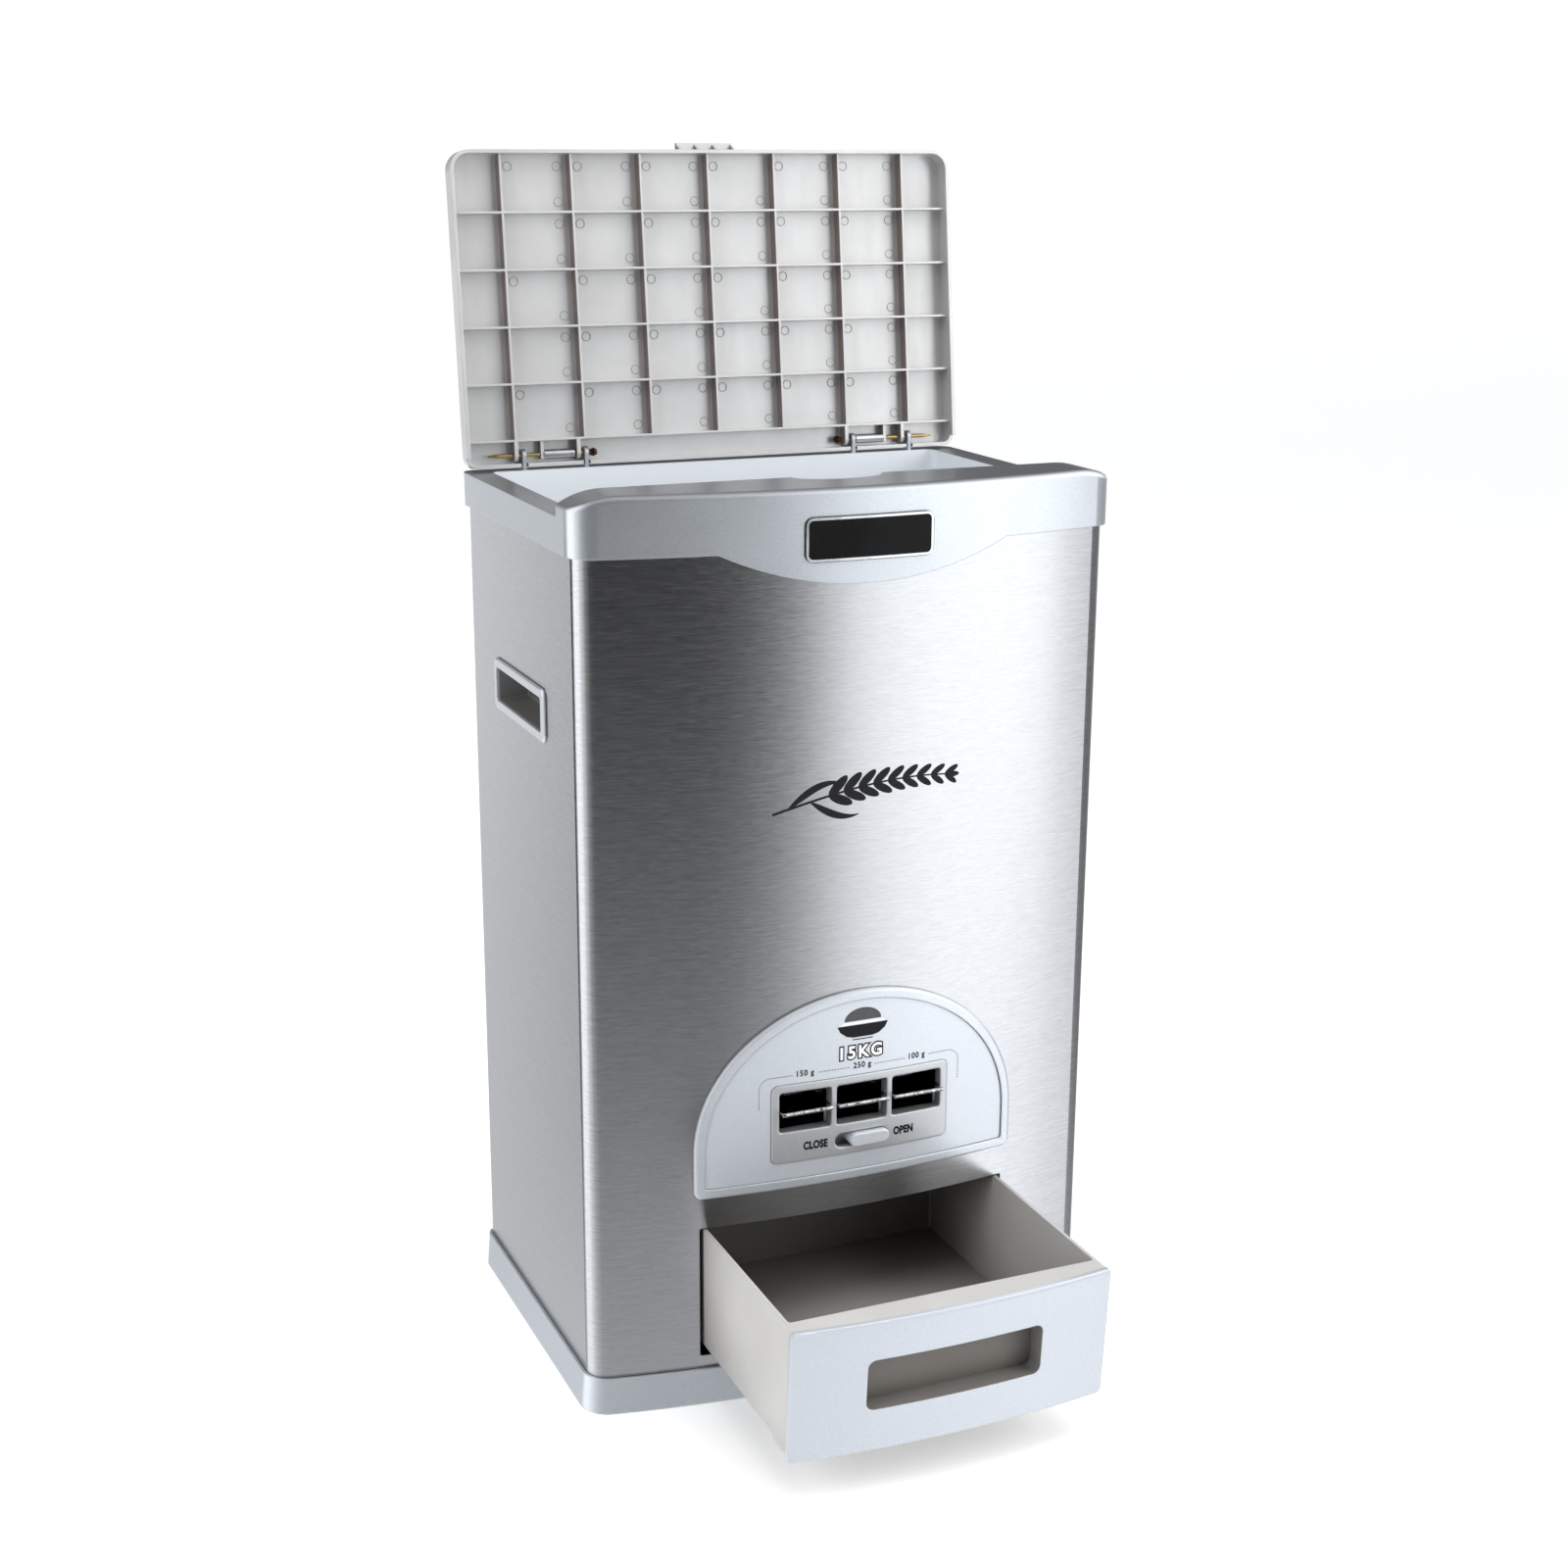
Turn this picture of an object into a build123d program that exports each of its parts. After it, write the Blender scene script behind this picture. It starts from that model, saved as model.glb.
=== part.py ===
from build123d import *
import os
from math import atan, cos, degrees, radians, sin, sqrt, tan

# A free-standing rice dispenser: a bowed steel cabinet with a lidded hopper on top, three metering
# levers behind a D-shaped panel, and a drawer that catches the rice.
# Millimetres. Z is up, the front faces -Y, and the origin is the middle of the base's underside.
# The lid stands open and the drawer is pulled out, as both stand when the dispenser is in use.


# Driving dimensions

# Cabinet plan: the steel's outer face is the reference that every other plan is offset from
body_half_width = 163.0
body_back = 106.0
body_front = 124.5
bow_radius = 720.0
front_corner_radius = 14.0
back_corner_radius = 6.0
back_return = 14.0
back_beads = (150.0, 390.0)
back_bead_height = 12.0
back_bead_depth = 2.4
back_bead_side = 45.0
steel = 0.8
wall = 2.2
fit_gap = 0.2

# Heights of the stacked parts
base_height = 22.0
base_floor = 3.0
base_flare = 4.0
base_step = 2.2
steel_foot = 12.0
rim_top = 530.0
skirt_drop = 20.0
steel_tuck = 7.0

# Top frame and its hood
frame_offset = 3.0
rim_plate = 2.8
opening_side = 13.0
opening_rear = 9.0
opening_front = 74.0
opening_radius = 5.0
inner_lip = 28.0
hood_rear = 81.0
hood_rise = 14.0
hood_end_run = 23.0
hood_end_radius = 48.0
hood_edge_radius = 3.5
lobe_half_width = 88.0
lobe_drop = 19.8
scoop_half_width = 28.0
scoop_depth = 15.0
scoop_floor = 3.0
badge_width = 78.0
badge_height = 25.0
badge_radius = 5.0
badge_thickness = 1.2
badge_middle = 516.0

# Lid
lid_overhang = 2.4
lid_rear = 7.0
lid_front_gap = 0.5
lid_top = 545.0
lid_skirt_gap = 1.0
lid_hinge_relief = 5.0
lid_corner_front = 12.0
lid_corner_rear = 7.0
lid_edge_radius = 3.2
rib = 1.4
rib_depth = 8.0
long_ribs = 7
long_rib_side = 31.9
cross_ribs = 5
cross_rib_pitch = 34.0
first_cross_rib = 9.0
tab_width = 37.0
tab_reach = 4.8
tab_thickness = 2.2
tab_gussets = 4
lid_angle = 96.4

# Lid hinges
hinge_setback = 5.0
hinge_rise = 8.5
hinge_inset = 52.0
frame_ears = (-17.5, 22.5)
ear_step = 5.0
ear_thickness = 2.4
ear_radius = 3.8
notch_gap = 1.0
pin_radius = 1.25
running_gap = 0.05
pin_inner = 28.0
pin_outer = 40.0
pin_head_radius = 2.6
pin_tail = 6.0
barrel_radius = 2.9
barrel_span = (-4.5, 15.2)
catch_width = 2.0

# Side handles
handle_width = 98.0
handle_height = 31.5
handle_y = 3.0
handle_z = 410.0
handle_radius = 5.0
handle_flange = 1.9
handle_border = 5.2
handle_depth = 19.0
handle_slope = 2.0
handle_wall = 1.6

# Hopper
liner_front = 98.0
liner_gap = 0.4
liner_wall = 2.0
liner_foot = 300.0
liner_pocket = 14.0
liner_pocket_gap = 2.0
funnel_lap = 9.0

# D-shaped control panel
panel_half_width = 103.0
panel_low = 132.0
panel_straight = 28.0
panel_rise = 90.5
bezel_width = 6.0
bezel_proud = 3.2
bezel_lip = 3.0
face_proud = 2.2
face_back = 1.2
plate_width = 114.0
plate_height = 49.0
plate_low = 148.6
plate_radius = 4.0
plate_proud = 2.8
window_pitch = 35.9
window_width = 33.0
window_low = 168.0
window_height = 25.0
window_radius = 2.0
collar = 1.6
collar_back = 118.5
lock_z = 157.8
knob_length = 25.6
knob_height = 8.4
lock_travel = 8.0
slot_gap = 0.4
knob_proud = 3.6
lock_bar_thickness = 1.5
lock_bar_height = 14.6
lock_bar_end = 2.0
lock_bar_front = 117.0
lock_tab_width = 3.0
shelf_thickness = 1.4

# Metering mechanism: each chamber's width follows from the mass of rice that it holds
rice_density = 0.8e-3
portions = (150.0, 250.0, 100.0)
chamber_front = 79.5
chamber_depth = 63.0
chamber_low = 126.0
chamber_high = 203.5
chamber_wall = 2.5
outlet = 11.0
floor_slope = 40.0
inlet_front = 60.0
gate_sheet = 1.5
gate_gap = 0.4
gate_web_front = 95.2
gate_margin = 1.0
shaft_y = 100.0
shaft_z = 181.0
shaft_radius = 2.0
sleeve_radius = 4.5
sleeve_gap = 0.5
blade_reach = 31.0
blade_thickness = 1.2
blade_bead = 1.3
blade_gap = 0.6
finger_drop = 36.0
finger_width = 9.0
finger_thickness = 3.0
bracket_low = 170.0
bracket_high = 192.0

# Drawer and its bay
drawer_opening_half = 99.4
drawer_opening_low = 29.8
drawer_opening_high = 112.6
drawer_out = 127.0
front_half_width = 98.6
front_low = 30.4
front_high = 112.0
front_radius = 3.0
front_proud = 0.8
front_lean = 6.0
front_thickness = 2.5
front_bead = 1.5
pocket_half_width = 54.2
pocket_low = 56.0
pocket_height = 31.7
pocket_radius = 5.0
pocket_wall = 1.6
tray_half_width = 96.6
tray_front = 113.5
tray_back = 95.0
tray_low = 36.6
nose_low = 32.6
nose_back = 96.0
tray_wall = 2.0
tray_corner = 4.0
runner_height = 2.0
runner_width = 3.0
rail_gap = 0.3
rail = 2.0
rail_reach = 12.0
rail_front = 93.0
bay_half_width = 101.5
bay_top = 119.0
bay_back = 102.0
bay_wall = 2.2

# Pads
pad_side = 24.0
pad_depth = 2.0
pad_inset = 30.0


# Values worked out from the driving dimensions
bow_centre = bow_radius - body_front
skirt_low = rim_top - skirt_drop
steel_top = skirt_low + steel_tuck
hood_top = rim_top + hood_rise
opening_half_width = body_half_width - opening_side
opening_back = body_back - opening_rear
hood_shoulder = body_half_width - hood_end_run
lid_half_width = body_half_width + lid_overhang
long_rib_pitch = 2 * (lid_half_width - long_rib_side) / (long_ribs - 1)
hinge_y = body_back - hinge_setback
hinge_z = rim_top + hinge_rise
hinge_spacing = body_half_width - hinge_inset
lid_under = lid_top - wall
lid_front = hood_rear - lid_front_gap
window_middles = (-window_pitch, 0.0, window_pitch)
lock_bar_half_length = 1.5 * window_pitch + lock_bar_end
outlet_back = chamber_front - outlet
chamber_back = chamber_front - chamber_depth
slope_run = chamber_depth - outlet
section_area = (
    chamber_depth * (chamber_high - chamber_low) - tan(radians(floor_slope)) * slope_run**2 / 2
)
chamber_widths = [mass / rice_density / section_area for mass in portions]
box_half_width = sum(chamber_widths) / 2 + 2 * chamber_wall
box_top = chamber_high + chamber_wall
funnel_low = box_top + 2 * gate_gap + gate_sheet
portion_names = [f"{mass:.0f}" for mass in portions]
# Each tab stands between two blades, and slides under the one on its left to lock it
lock_tab_top = shaft_z - blade_thickness / 2 - blade_gap


def bow_y(x, offset=0.0):
    """Y of the bowed front at x, for a face that stands offset proud of the steel."""
    return bow_centre - sqrt((bow_radius + offset) ** 2 - x**2)


def plan(offset=0.0):
    """The cabinet's outline, seen from above, moved out from the steel by offset."""
    half = body_half_width + offset
    back = body_back + offset
    corner = bow_y(half, offset)
    outline = make_face(
        [
            ThreePointArc((-half, corner), (0, bow_y(0, offset)), (half, corner)),
            Line((half, corner), (half, back)),
            Line((half, back), (-half, back)),
            Line((-half, back), (-half, corner)),
        ]
    )
    rear = outline.vertices().filter_by(lambda v: v.Y > 0)
    outline = fillet(rear, back_corner_radius + offset)
    front = [v for v in outline.vertices() if v.Y < 0]
    return fillet(front, front_corner_radius + offset)


def prism(face, low, high):
    return extrude(Pos(0, 0, low) * face, amount=high - low, dir=(0, 0, 1))


def block(x0, x1, y0, y1, z0, z1):
    middle = ((x0 + x1) / 2, (y0 + y1) / 2, (z0 + z1) / 2)
    return Pos(*middle) * Box(x1 - x0, y1 - y0, z1 - z0)


def rod(x0, x1, y, z, radius):
    """A cylinder along X."""
    return Pos((x0 + x1) / 2, y, z) * Rot(0, 90, 0) * Cylinder(radius, x1 - x0)


def rounded(x0, x1, y0, y1, radius):
    middle = Pos((x0 + x1) / 2, (y0 + y1) / 2)
    return middle * RectangleRounded(x1 - x0, y1 - y0, radius)


def through_front(outline, near=60.0, far=200.0):
    """An outline drawn in X and Z, run along Y through the cabinet's front."""
    return extrude(Plane.XZ.offset(near) * outline, amount=far - near)


def bowed(outline, inner, outer):
    """A plate of the given outline, bent to the front, between two offsets from the steel."""
    height = 2 * rim_top
    skin = Cylinder(bow_radius + outer, height) - Cylinder(bow_radius + inner, height)
    return Pos(0, bow_centre, height / 2) * skin & through_front(outline)


def one(shape):
    """The solid itself, where an operation gave it back inside a list or a compound."""
    solids = shape.solids()
    return solids[0] if len(solids) == 1 else Compound(solids)


def side_profile(points, x0, x1):
    """A closed outline of (y, z) points, run along X."""
    return extrude(Plane.YZ.offset(x0) * make_face(Polyline(*points, close=True)), amount=x1 - x0)


def frustum(bottom, low, top, high):
    """A flat-sided taper between two level rectangles, each given as (x0, x1, y0, y1)."""
    along = side_profile([(bottom[2], low), (bottom[3], low), (top[3], high), (top[2], high)],
                         min(bottom[0], top[0]), max(bottom[1], top[1]))
    across = make_face(
        Polyline((bottom[0], low), (bottom[1], low), (top[1], high), (top[0], high), close=True)
    )
    return along & extrude(Plane.XZ.offset(-max(bottom[3], top[3])) * across,
                           amount=max(bottom[3], top[3]) - min(bottom[2], top[2]))


# Cabinet

def make_base():
    draft = degrees(atan((base_flare - base_step) / base_height))
    shell = extrude(plan(base_flare), amount=base_height, taper=draft)
    shell -= prism(plan(-steel - wall), base_floor, base_height + 1)
    groove = -2 * (steel + fit_gap)
    shell -= prism(plan(fit_gap), steel_foot, base_height + 1) - prism(
        plan(groove), steel_foot, base_height + 1
    )
    for spot in pad_spots():
        shell -= Pos(*spot) * Box(pad_side + 2 * fit_gap, pad_side + 2 * fit_gap, 2 * pad_depth)
    return one(shell)


def pad_spots():
    x = body_half_width - pad_inset
    return [(sx * x, y) for sx in (-1, 1) for y in (-body_front + 1.6 * pad_inset, body_back - pad_inset)]


def make_pads():
    pad = Box(pad_side, pad_side, pad_depth, align=(Align.CENTER, Align.CENTER, Align.MIN))
    return Compound([one(Pos(*spot) * pad) for spot in pad_spots()])


def panel_outline(inset):
    half = panel_half_width - inset
    low = panel_low + inset
    spring = panel_low + panel_straight
    edge = [
        Line((-half, low), (half, low)),
        Line((half, low), (half, spring)),
        EllipticalCenterArc((0, spring), half, panel_rise - inset, 0, arc_size=180),
        Line((-half, spring), (-half, low)),
    ]
    face = make_face(edge)
    corners = face.vertices().sort_by(Axis.Y)[0:2]
    return fillet(corners, max(5.0 - inset / 2, 1.0))


def make_wrap():
    wrap = prism(plan(), steel_foot, steel_top) - prism(plan(-steel), steel_foot, steel_top)
    seam = body_half_width - back_return
    wrap -= block(-seam, seam, body_back - 2 * steel, body_back + 1, steel_foot - 1, steel_top + 1)
    wrap -= through_front(panel_outline(bezel_width / 2))
    half = drawer_opening_half
    drawer_hole = rounded(-half, half, drawer_opening_low, drawer_opening_high, 1.5)
    wrap -= through_front(drawer_hole)
    hole = handle_hole(handle_border - handle_wall - 1.0)
    wrap -= extrude(Plane.YZ.offset(-body_half_width - 5) * hole, amount=2 * body_half_width + 10)
    return one(wrap)


def make_back_panel():
    half = body_half_width - back_corner_radius - fit_gap
    front = body_back - 2 * steel - fit_gap / 2
    panel = block(-half, half, front, front + steel, steel_foot, steel_top)
    bead_half = half - back_bead_side
    for z in back_beads:
        high = z + back_bead_height
        panel += block(-bead_half, bead_half, front - back_bead_depth, front, z, high)
        panel -= block(-bead_half + steel, bead_half - steel, front - back_bead_depth + steel, front + steel,
                       z + steel, high - steel)
    return one(panel)


def opening_outline(grow):
    half = opening_half_width + grow
    return rounded(-half, half, -opening_front - grow, opening_back + grow, opening_radius + grow)


def hood_crown(drop):
    """The hood seen from the front: level in the middle, rounded off towards both ends."""
    end = body_half_width + frame_offset + 2.0
    run = end - hood_shoulder
    radius = hood_end_radius
    top = hood_top - drop
    fall = radius - sqrt(radius**2 - run**2)
    middle_x = hood_shoulder + radius * sin(radians(15))
    middle_z = top - radius * (1 - cos(radians(15)))
    low = skirt_low - 30.0
    return make_face(
        [
            Line((-hood_shoulder, top), (hood_shoulder, top)),
            ThreePointArc((hood_shoulder, top), (middle_x, middle_z), (end, top - fall)),
            Line((end, top - fall), (end, low)),
            Line((end, low), (-end, low)),
            Line((-end, low), (-end, top - fall)),
            ThreePointArc((-end, top - fall), (-middle_x, middle_z), (-hood_shoulder, top)),
        ]
    )


def hood_body(inset):
    body = prism(plan(frame_offset - inset), skirt_low, hood_top)
    body &= through_front(hood_crown(inset), near=hood_rear + inset, far=160.0)
    return body


def scoop(grow):
    oval = Pos(0, -hood_rear) * Ellipse(scoop_half_width + grow, scoop_depth + grow)
    return prism(oval, rim_top + scoop_floor - grow, hood_top + 5)


def frame_ear(x):
    foot = block(x - ear_thickness / 2, x + ear_thickness / 2, hinge_y - ear_radius,
                 hinge_y + ear_radius - 1.0, rim_top - 0.5, hinge_z)
    ear = foot + rod(x - ear_thickness / 2, x + ear_thickness / 2, hinge_y, hinge_z, ear_radius)
    return ear - rod(x - ear_thickness, x + ear_thickness, hinge_y, hinge_z, pin_radius + running_gap)


def make_top_frame():
    frame = prism(plan(frame_offset), skirt_low, rim_top)
    frame -= prism(plan(fit_gap), skirt_low - 1, rim_top - rim_plate)
    frame -= prism(opening_outline(0), skirt_low, rim_top + 1)
    lip_low = rim_top - inner_lip
    frame += prism(opening_outline(wall), lip_low, rim_top - rim_plate / 2)
    frame -= prism(opening_outline(0), lip_low - 1, rim_top + 1)
    hood = hood_body(0)
    edges = [
        e for e in hood.edges()
        if e.center().Z > hood_top - 14 and e.center().Y < -hood_rear - 0.5
        and e.bounding_box().size.Y + e.bounding_box().size.X > 3
        and abs(e.center().X) > hood_shoulder * 0.99 or
        (e.center().Z > hood_top - 1 and e.center().Y < -body_front + 6)
    ]
    hood = fillet(edges, hood_edge_radius)
    hood -= hood_body(wall) - scoop(wall)
    hood -= scoop(0)
    hood -= prism(plan(fit_gap), skirt_low - 1, rim_top - rim_plate)
    frame += hood
    frame -= hood_body(wall) - scoop(wall) - prism(opening_outline(wall), lip_low, rim_top + 1)
    lobe = make_face(
        [
            ThreePointArc((-lobe_half_width, skirt_low), (0, skirt_low - lobe_drop), (lobe_half_width, skirt_low)),
            Line((lobe_half_width, skirt_low), (lobe_half_width, skirt_low + 4)),
            Line((lobe_half_width, skirt_low + 4), (-lobe_half_width, skirt_low + 4)),
            Line((-lobe_half_width, skirt_low + 4), (-lobe_half_width, skirt_low)),
        ]
    )
    frame += bowed(lobe, fit_gap, frame_offset)
    for side in (-1, 1):
        for place in frame_ears:
            frame += frame_ear(side * hinge_spacing + place)
    return one(frame)


def make_badge():
    half = badge_width / 2
    low = badge_middle - badge_height / 2
    outline = rounded(-half, half, low, low + badge_height, badge_radius)
    return one(bowed(outline, frame_offset + 0.05, frame_offset + badge_thickness))


# Handles

def handle_hole(inset):
    return Pos(handle_y, handle_z) * RectangleRounded(
        handle_width - 2 * inset, handle_height - 2 * inset, max(handle_radius - inset / 2, 1.5)
    )


def drafted_grip(deep, mouth, border):
    """The grip's pocket as a flat-sided taper, narrower by handle_slope at its floor."""
    def edges(inset):
        half_y = handle_width / 2 - inset
        half_z = handle_height / 2 - inset
        return (handle_z - half_z, handle_z + half_z, handle_y - half_y, handle_y + half_y)

    level = frustum(edges(border + handle_slope), deep, edges(border), mouth)
    return level.rotate(Axis.Y, 90).mirror(Plane.XY)


def make_handle(side):
    face = body_half_width + 0.1
    ring = extrude(Plane.YZ.offset(face) * handle_hole(0), amount=handle_flange)
    rim = ring.faces().sort_by(Axis.X)[-1]
    ring = chamfer(rim.edges(), 0.9)
    deep = face - handle_depth
    floor = deep + handle_wall
    mouth = face + 2 * handle_flange
    outer = extrude(Plane.YZ.offset(deep) * handle_hole(handle_border - handle_wall), amount=handle_depth)
    inner = extrude(Plane.YZ.offset(floor) * handle_hole(handle_border), amount=mouth - floor)
    cup = ring + (outer & drafted_grip(deep, mouth, handle_border - handle_wall))
    cup -= inner & drafted_grip(floor, mouth, handle_border)
    cup = one(cup)
    return cup if side > 0 else one(mirror(cup, Plane.YZ))


# Hopper

def liner_outline(grow):
    half = opening_half_width + wall + liner_gap + grow
    front = -liner_front - grow
    back = opening_back + wall + liner_gap + grow
    return rounded(-half, half, front, back, opening_radius + grow)


def make_liner():
    top = rim_top - rim_plate - liner_gap
    liner = prism(liner_outline(liner_wall), liner_foot, top)
    pocket_inner = opening_half_width + wall + liner_gap + liner_wall - liner_pocket
    span_y = handle_width / 2 + liner_pocket_gap
    span_z = handle_height / 2 + liner_pocket_gap
    hollow = prism(liner_outline(0), liner_foot - 1, top + 1)
    liner_out = opening_half_width + wall + liner_gap + liner_wall
    for side in (-1, 1):
        low_x, high_x = sorted((side * pocket_inner, side * (liner_out + 1)))
        skin_x = sorted((side * (pocket_inner - liner_wall), side * (liner_out + 1)))
        hollow -= block(*skin_x, handle_y - span_y - liner_wall, handle_y + span_y + liner_wall,
                        handle_z - span_z - liner_wall, handle_z + span_z + liner_wall)
        liner -= block(low_x, high_x, handle_y - span_y, handle_y + span_y,
                       handle_z - span_z, handle_z + span_z)
    liner -= hollow
    return one(liner)


def make_funnel():
    def taper(grow, low, high):
        half = box_half_width - chamber_wall + grow
        mouth = (-half, half, -inlet_front - 2 - grow, -inlet_front + outlet + 2 + grow)
        brim = liner_outline(grow - liner_gap).bounding_box()
        return frustum(mouth, low, (brim.min.X, brim.max.X, brim.min.Y, brim.max.Y), high)

    foot = funnel_low + liner_wall
    shell = taper(liner_wall - 2 * liner_gap, foot, liner_foot)
    shell += prism(liner_outline(-liner_gap), liner_foot, liner_foot + funnel_lap)
    flange = rounded(-box_half_width, box_half_width, -chamber_front - chamber_wall, -chamber_back, 2)
    shell += prism(flange, funnel_low, foot)
    shell -= taper(-2 * liner_gap, foot, liner_foot)
    shell -= prism(liner_outline(-liner_gap - liner_wall), liner_foot, liner_foot + funnel_lap + 1)
    half = box_half_width - chamber_wall - 2 * liner_gap
    mouth = rounded(-half, half, -inlet_front, -inlet_front + outlet, 1.0)
    shell -= prism(mouth, funnel_low - 1, foot + 1)
    return one(shell)


# Metering mechanism

def chamber_spans():
    spans = []
    x = -box_half_width + chamber_wall
    for width in chamber_widths:
        spans.append((x, x + width))
        x += width + chamber_wall
    return spans


def make_metering_box():
    rise = tan(radians(floor_slope))
    slope_start = -outlet_back
    back = -chamber_back
    slope_end = chamber_low + rise * (back - slope_start)
    skin_step = chamber_wall / sin(radians(floor_slope))
    outer_end = chamber_low + rise * (back + chamber_wall - slope_start - skin_step)
    body = side_profile(
        [
            (-chamber_front - chamber_wall, chamber_low),
            (slope_start + skin_step, chamber_low),
            (back + chamber_wall, outer_end),
            (back + chamber_wall, box_top),
            (-chamber_front - chamber_wall, box_top),
        ],
        -box_half_width, box_half_width,
    )
    for x0, x1 in chamber_spans():
        body -= side_profile(
            [
                (-chamber_front, chamber_low - 1),
                (slope_start, chamber_low - 1),
                (slope_start, chamber_low),
                (back, slope_end),
                (back, chamber_high),
                (-chamber_front, chamber_high),
            ],
            x0, x1,
        )
        body -= block(x0, x1, -inlet_front, -inlet_front + outlet, chamber_high - 1, box_top + 1)
    for side in (-1, 1):
        x0, x1 = sorted((side * box_half_width, side * (box_half_width - chamber_wall + gate_margin + gate_gap)))
        body += block(x0, x1, -chamber_front - chamber_wall, back + chamber_wall, bay_top, chamber_low + 2)
        body += block(x0, x1, -chamber_front - chamber_wall, back + chamber_wall, box_top - 1, funnel_low)
        body += block(x0, x1, -shaft_y - 7, -chamber_front, bracket_low, bracket_high)
        body -= rod(x0 - 1, x1 + 1, -shaft_y, shaft_z, shaft_radius)
    return one(body)


def make_gate(index):
    x0, x1 = chamber_spans()[index]
    x0 -= gate_margin
    x1 += gate_margin
    low = chamber_low - gate_gap - gate_sheet
    high = box_top + gate_gap + gate_sheet
    travel = outlet + 0.3
    web_back = -gate_web_front + gate_sheet
    gate = block(x0, x1, -gate_web_front, web_back, low, high)
    gate += block(x0, x1, -gate_web_front, -outlet_back + 3.0, low, low + gate_sheet)
    gate += block(x0, x1, -gate_web_front, -inlet_front - gate_gap / 2, high - gate_sheet, high)
    gate -= block(x0 + 3, x1 - 3, -chamber_front - travel, -outlet_back - travel, low - 1, low + gate_sheet + 1)
    gate -= block(x0 + 6, x1 - 6, -gate_web_front - 1, web_back + 1, shaft_z - 18, high - 6)
    return one(gate)


def make_shaft():
    shaft = rod(-box_half_width - 2, box_half_width + 2, -shaft_y, shaft_z, shaft_radius)
    return one(chamfer(shaft.edges().filter_by(GeomType.CIRCLE), 0.5))


def sleeve_span(index):
    gap = sleeve_gap / 2
    inside = box_half_width - chamber_wall + gate_margin + gate_gap - sleeve_gap
    limits = (-inside, -window_pitch / 2 - gap, -window_pitch / 2 + gap,
              window_pitch / 2 - gap, window_pitch / 2 + gap, inside)
    return limits[2 * index], limits[2 * index + 1]


def make_lever(index):
    middle = window_middles[index]
    half = window_width / 2 - blade_gap
    start, end = sleeve_span(index)
    low, high = chamber_spans()[index]
    lever = rod(start, end, -shaft_y, shaft_z, sleeve_radius)
    tip = -shaft_y - blade_reach
    blade = block(middle - half, middle + half, tip + blade_bead, -shaft_y,
                  shaft_z - blade_thickness / 2, shaft_z + blade_thickness / 2)
    lever += blade
    lever += rod(middle - half, middle + half, tip + blade_bead, shaft_z, blade_bead)
    for stiffener in (-half * 0.6, half * 0.6):
        lever += side_profile(
            [(-shaft_y - 16, shaft_z), (-shaft_y, shaft_z), (-shaft_y, shaft_z - sleeve_radius + 0.3)],
            middle + stiffener - 0.8, middle + stiffener + 0.8,
        )
    reach_low = max(start, low)
    reach_high = min(end, high)
    finger_x = (reach_low + reach_high) / 2
    f0 = finger_x - finger_width / 2
    f1 = finger_x + finger_width / 2
    lever += block(f0, f1, -shaft_y - finger_thickness / 2, -shaft_y + finger_thickness / 2,
                   shaft_z - finger_drop, shaft_z)
    lever += block(f0, f1, -shaft_y, -gate_web_front - 0.3, shaft_z - finger_drop, shaft_z - finger_drop + 5)
    lever -= rod(start - 1, end + 1, -shaft_y, shaft_z, shaft_radius + running_gap)
    return one(lever)


# Control panel

def make_bezel():
    ring = bowed(panel_outline(0), 0.05, bezel_proud)
    outer_edges = ring.faces().filter_by(GeomType.CYLINDER).sort_by(Axis.Y)[0].edges()
    ring = chamfer(outer_edges, 1.2)
    ring += bowed(panel_outline(bezel_width / 2 + fit_gap), -bezel_lip, 0.05)
    ring -= bowed(panel_outline(bezel_width), -bezel_lip - 5, bezel_proud + 5)
    return one(ring)


def plate_outline(grow):
    half = plate_width / 2 + grow
    return rounded(-half, half, plate_low - grow, plate_low + plate_height + grow, plate_radius + grow)


def make_face_plate():
    face = bowed(panel_outline(bezel_width + fit_gap), -face_back, face_proud)
    face -= through_front(plate_outline(fit_gap))
    return one(face)


def window_outline(middle, grow):
    half = window_width / 2 + grow
    return rounded(middle - half, middle + half, window_low - grow, window_low + window_height + grow,
                   window_radius + grow / 2)


def slot_outline():
    half = (knob_length + lock_travel) / 2 + slot_gap
    tall = knob_height / 2 + slot_gap
    return rounded(-half, half, lock_z - tall, lock_z + tall, tall - 0.01)


def make_lever_plate():
    plate = bowed(plate_outline(0), -face_back, plate_proud)
    for middle in window_middles:
        half = window_width / 2 + collar
        plate += block(middle - half, middle + half, -body_front + face_back - 1.5, -collar_back,
                       window_low - collar, window_low + window_height + collar)
    for middle in window_middles:
        plate -= through_front(window_outline(middle, 0), near=collar_back - 5)
    shelf_high = lock_z - lock_bar_height / 2 + 0.3 - fit_gap
    half = lock_bar_half_length - lock_travel
    plate += block(-half, half, -body_front + face_back - 1, -lock_bar_front + lock_bar_thickness + 0.5,
                   shelf_high - shelf_thickness, shelf_high)
    plate -= through_front(slot_outline())
    return one(plate)


def make_lock_knob():
    right = (knob_length + lock_travel) / 2
    outline = rounded(right - knob_length, right, lock_z - knob_height / 2, lock_z + knob_height / 2,
                      knob_height / 2 - 0.01)
    knob = through_front(outline, near=lock_bar_front, far=body_front + plate_proud + knob_proud)
    front = knob.faces().sort_by(Axis.Y)[0]
    return one(chamfer(front.edges(), 0.8))


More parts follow.
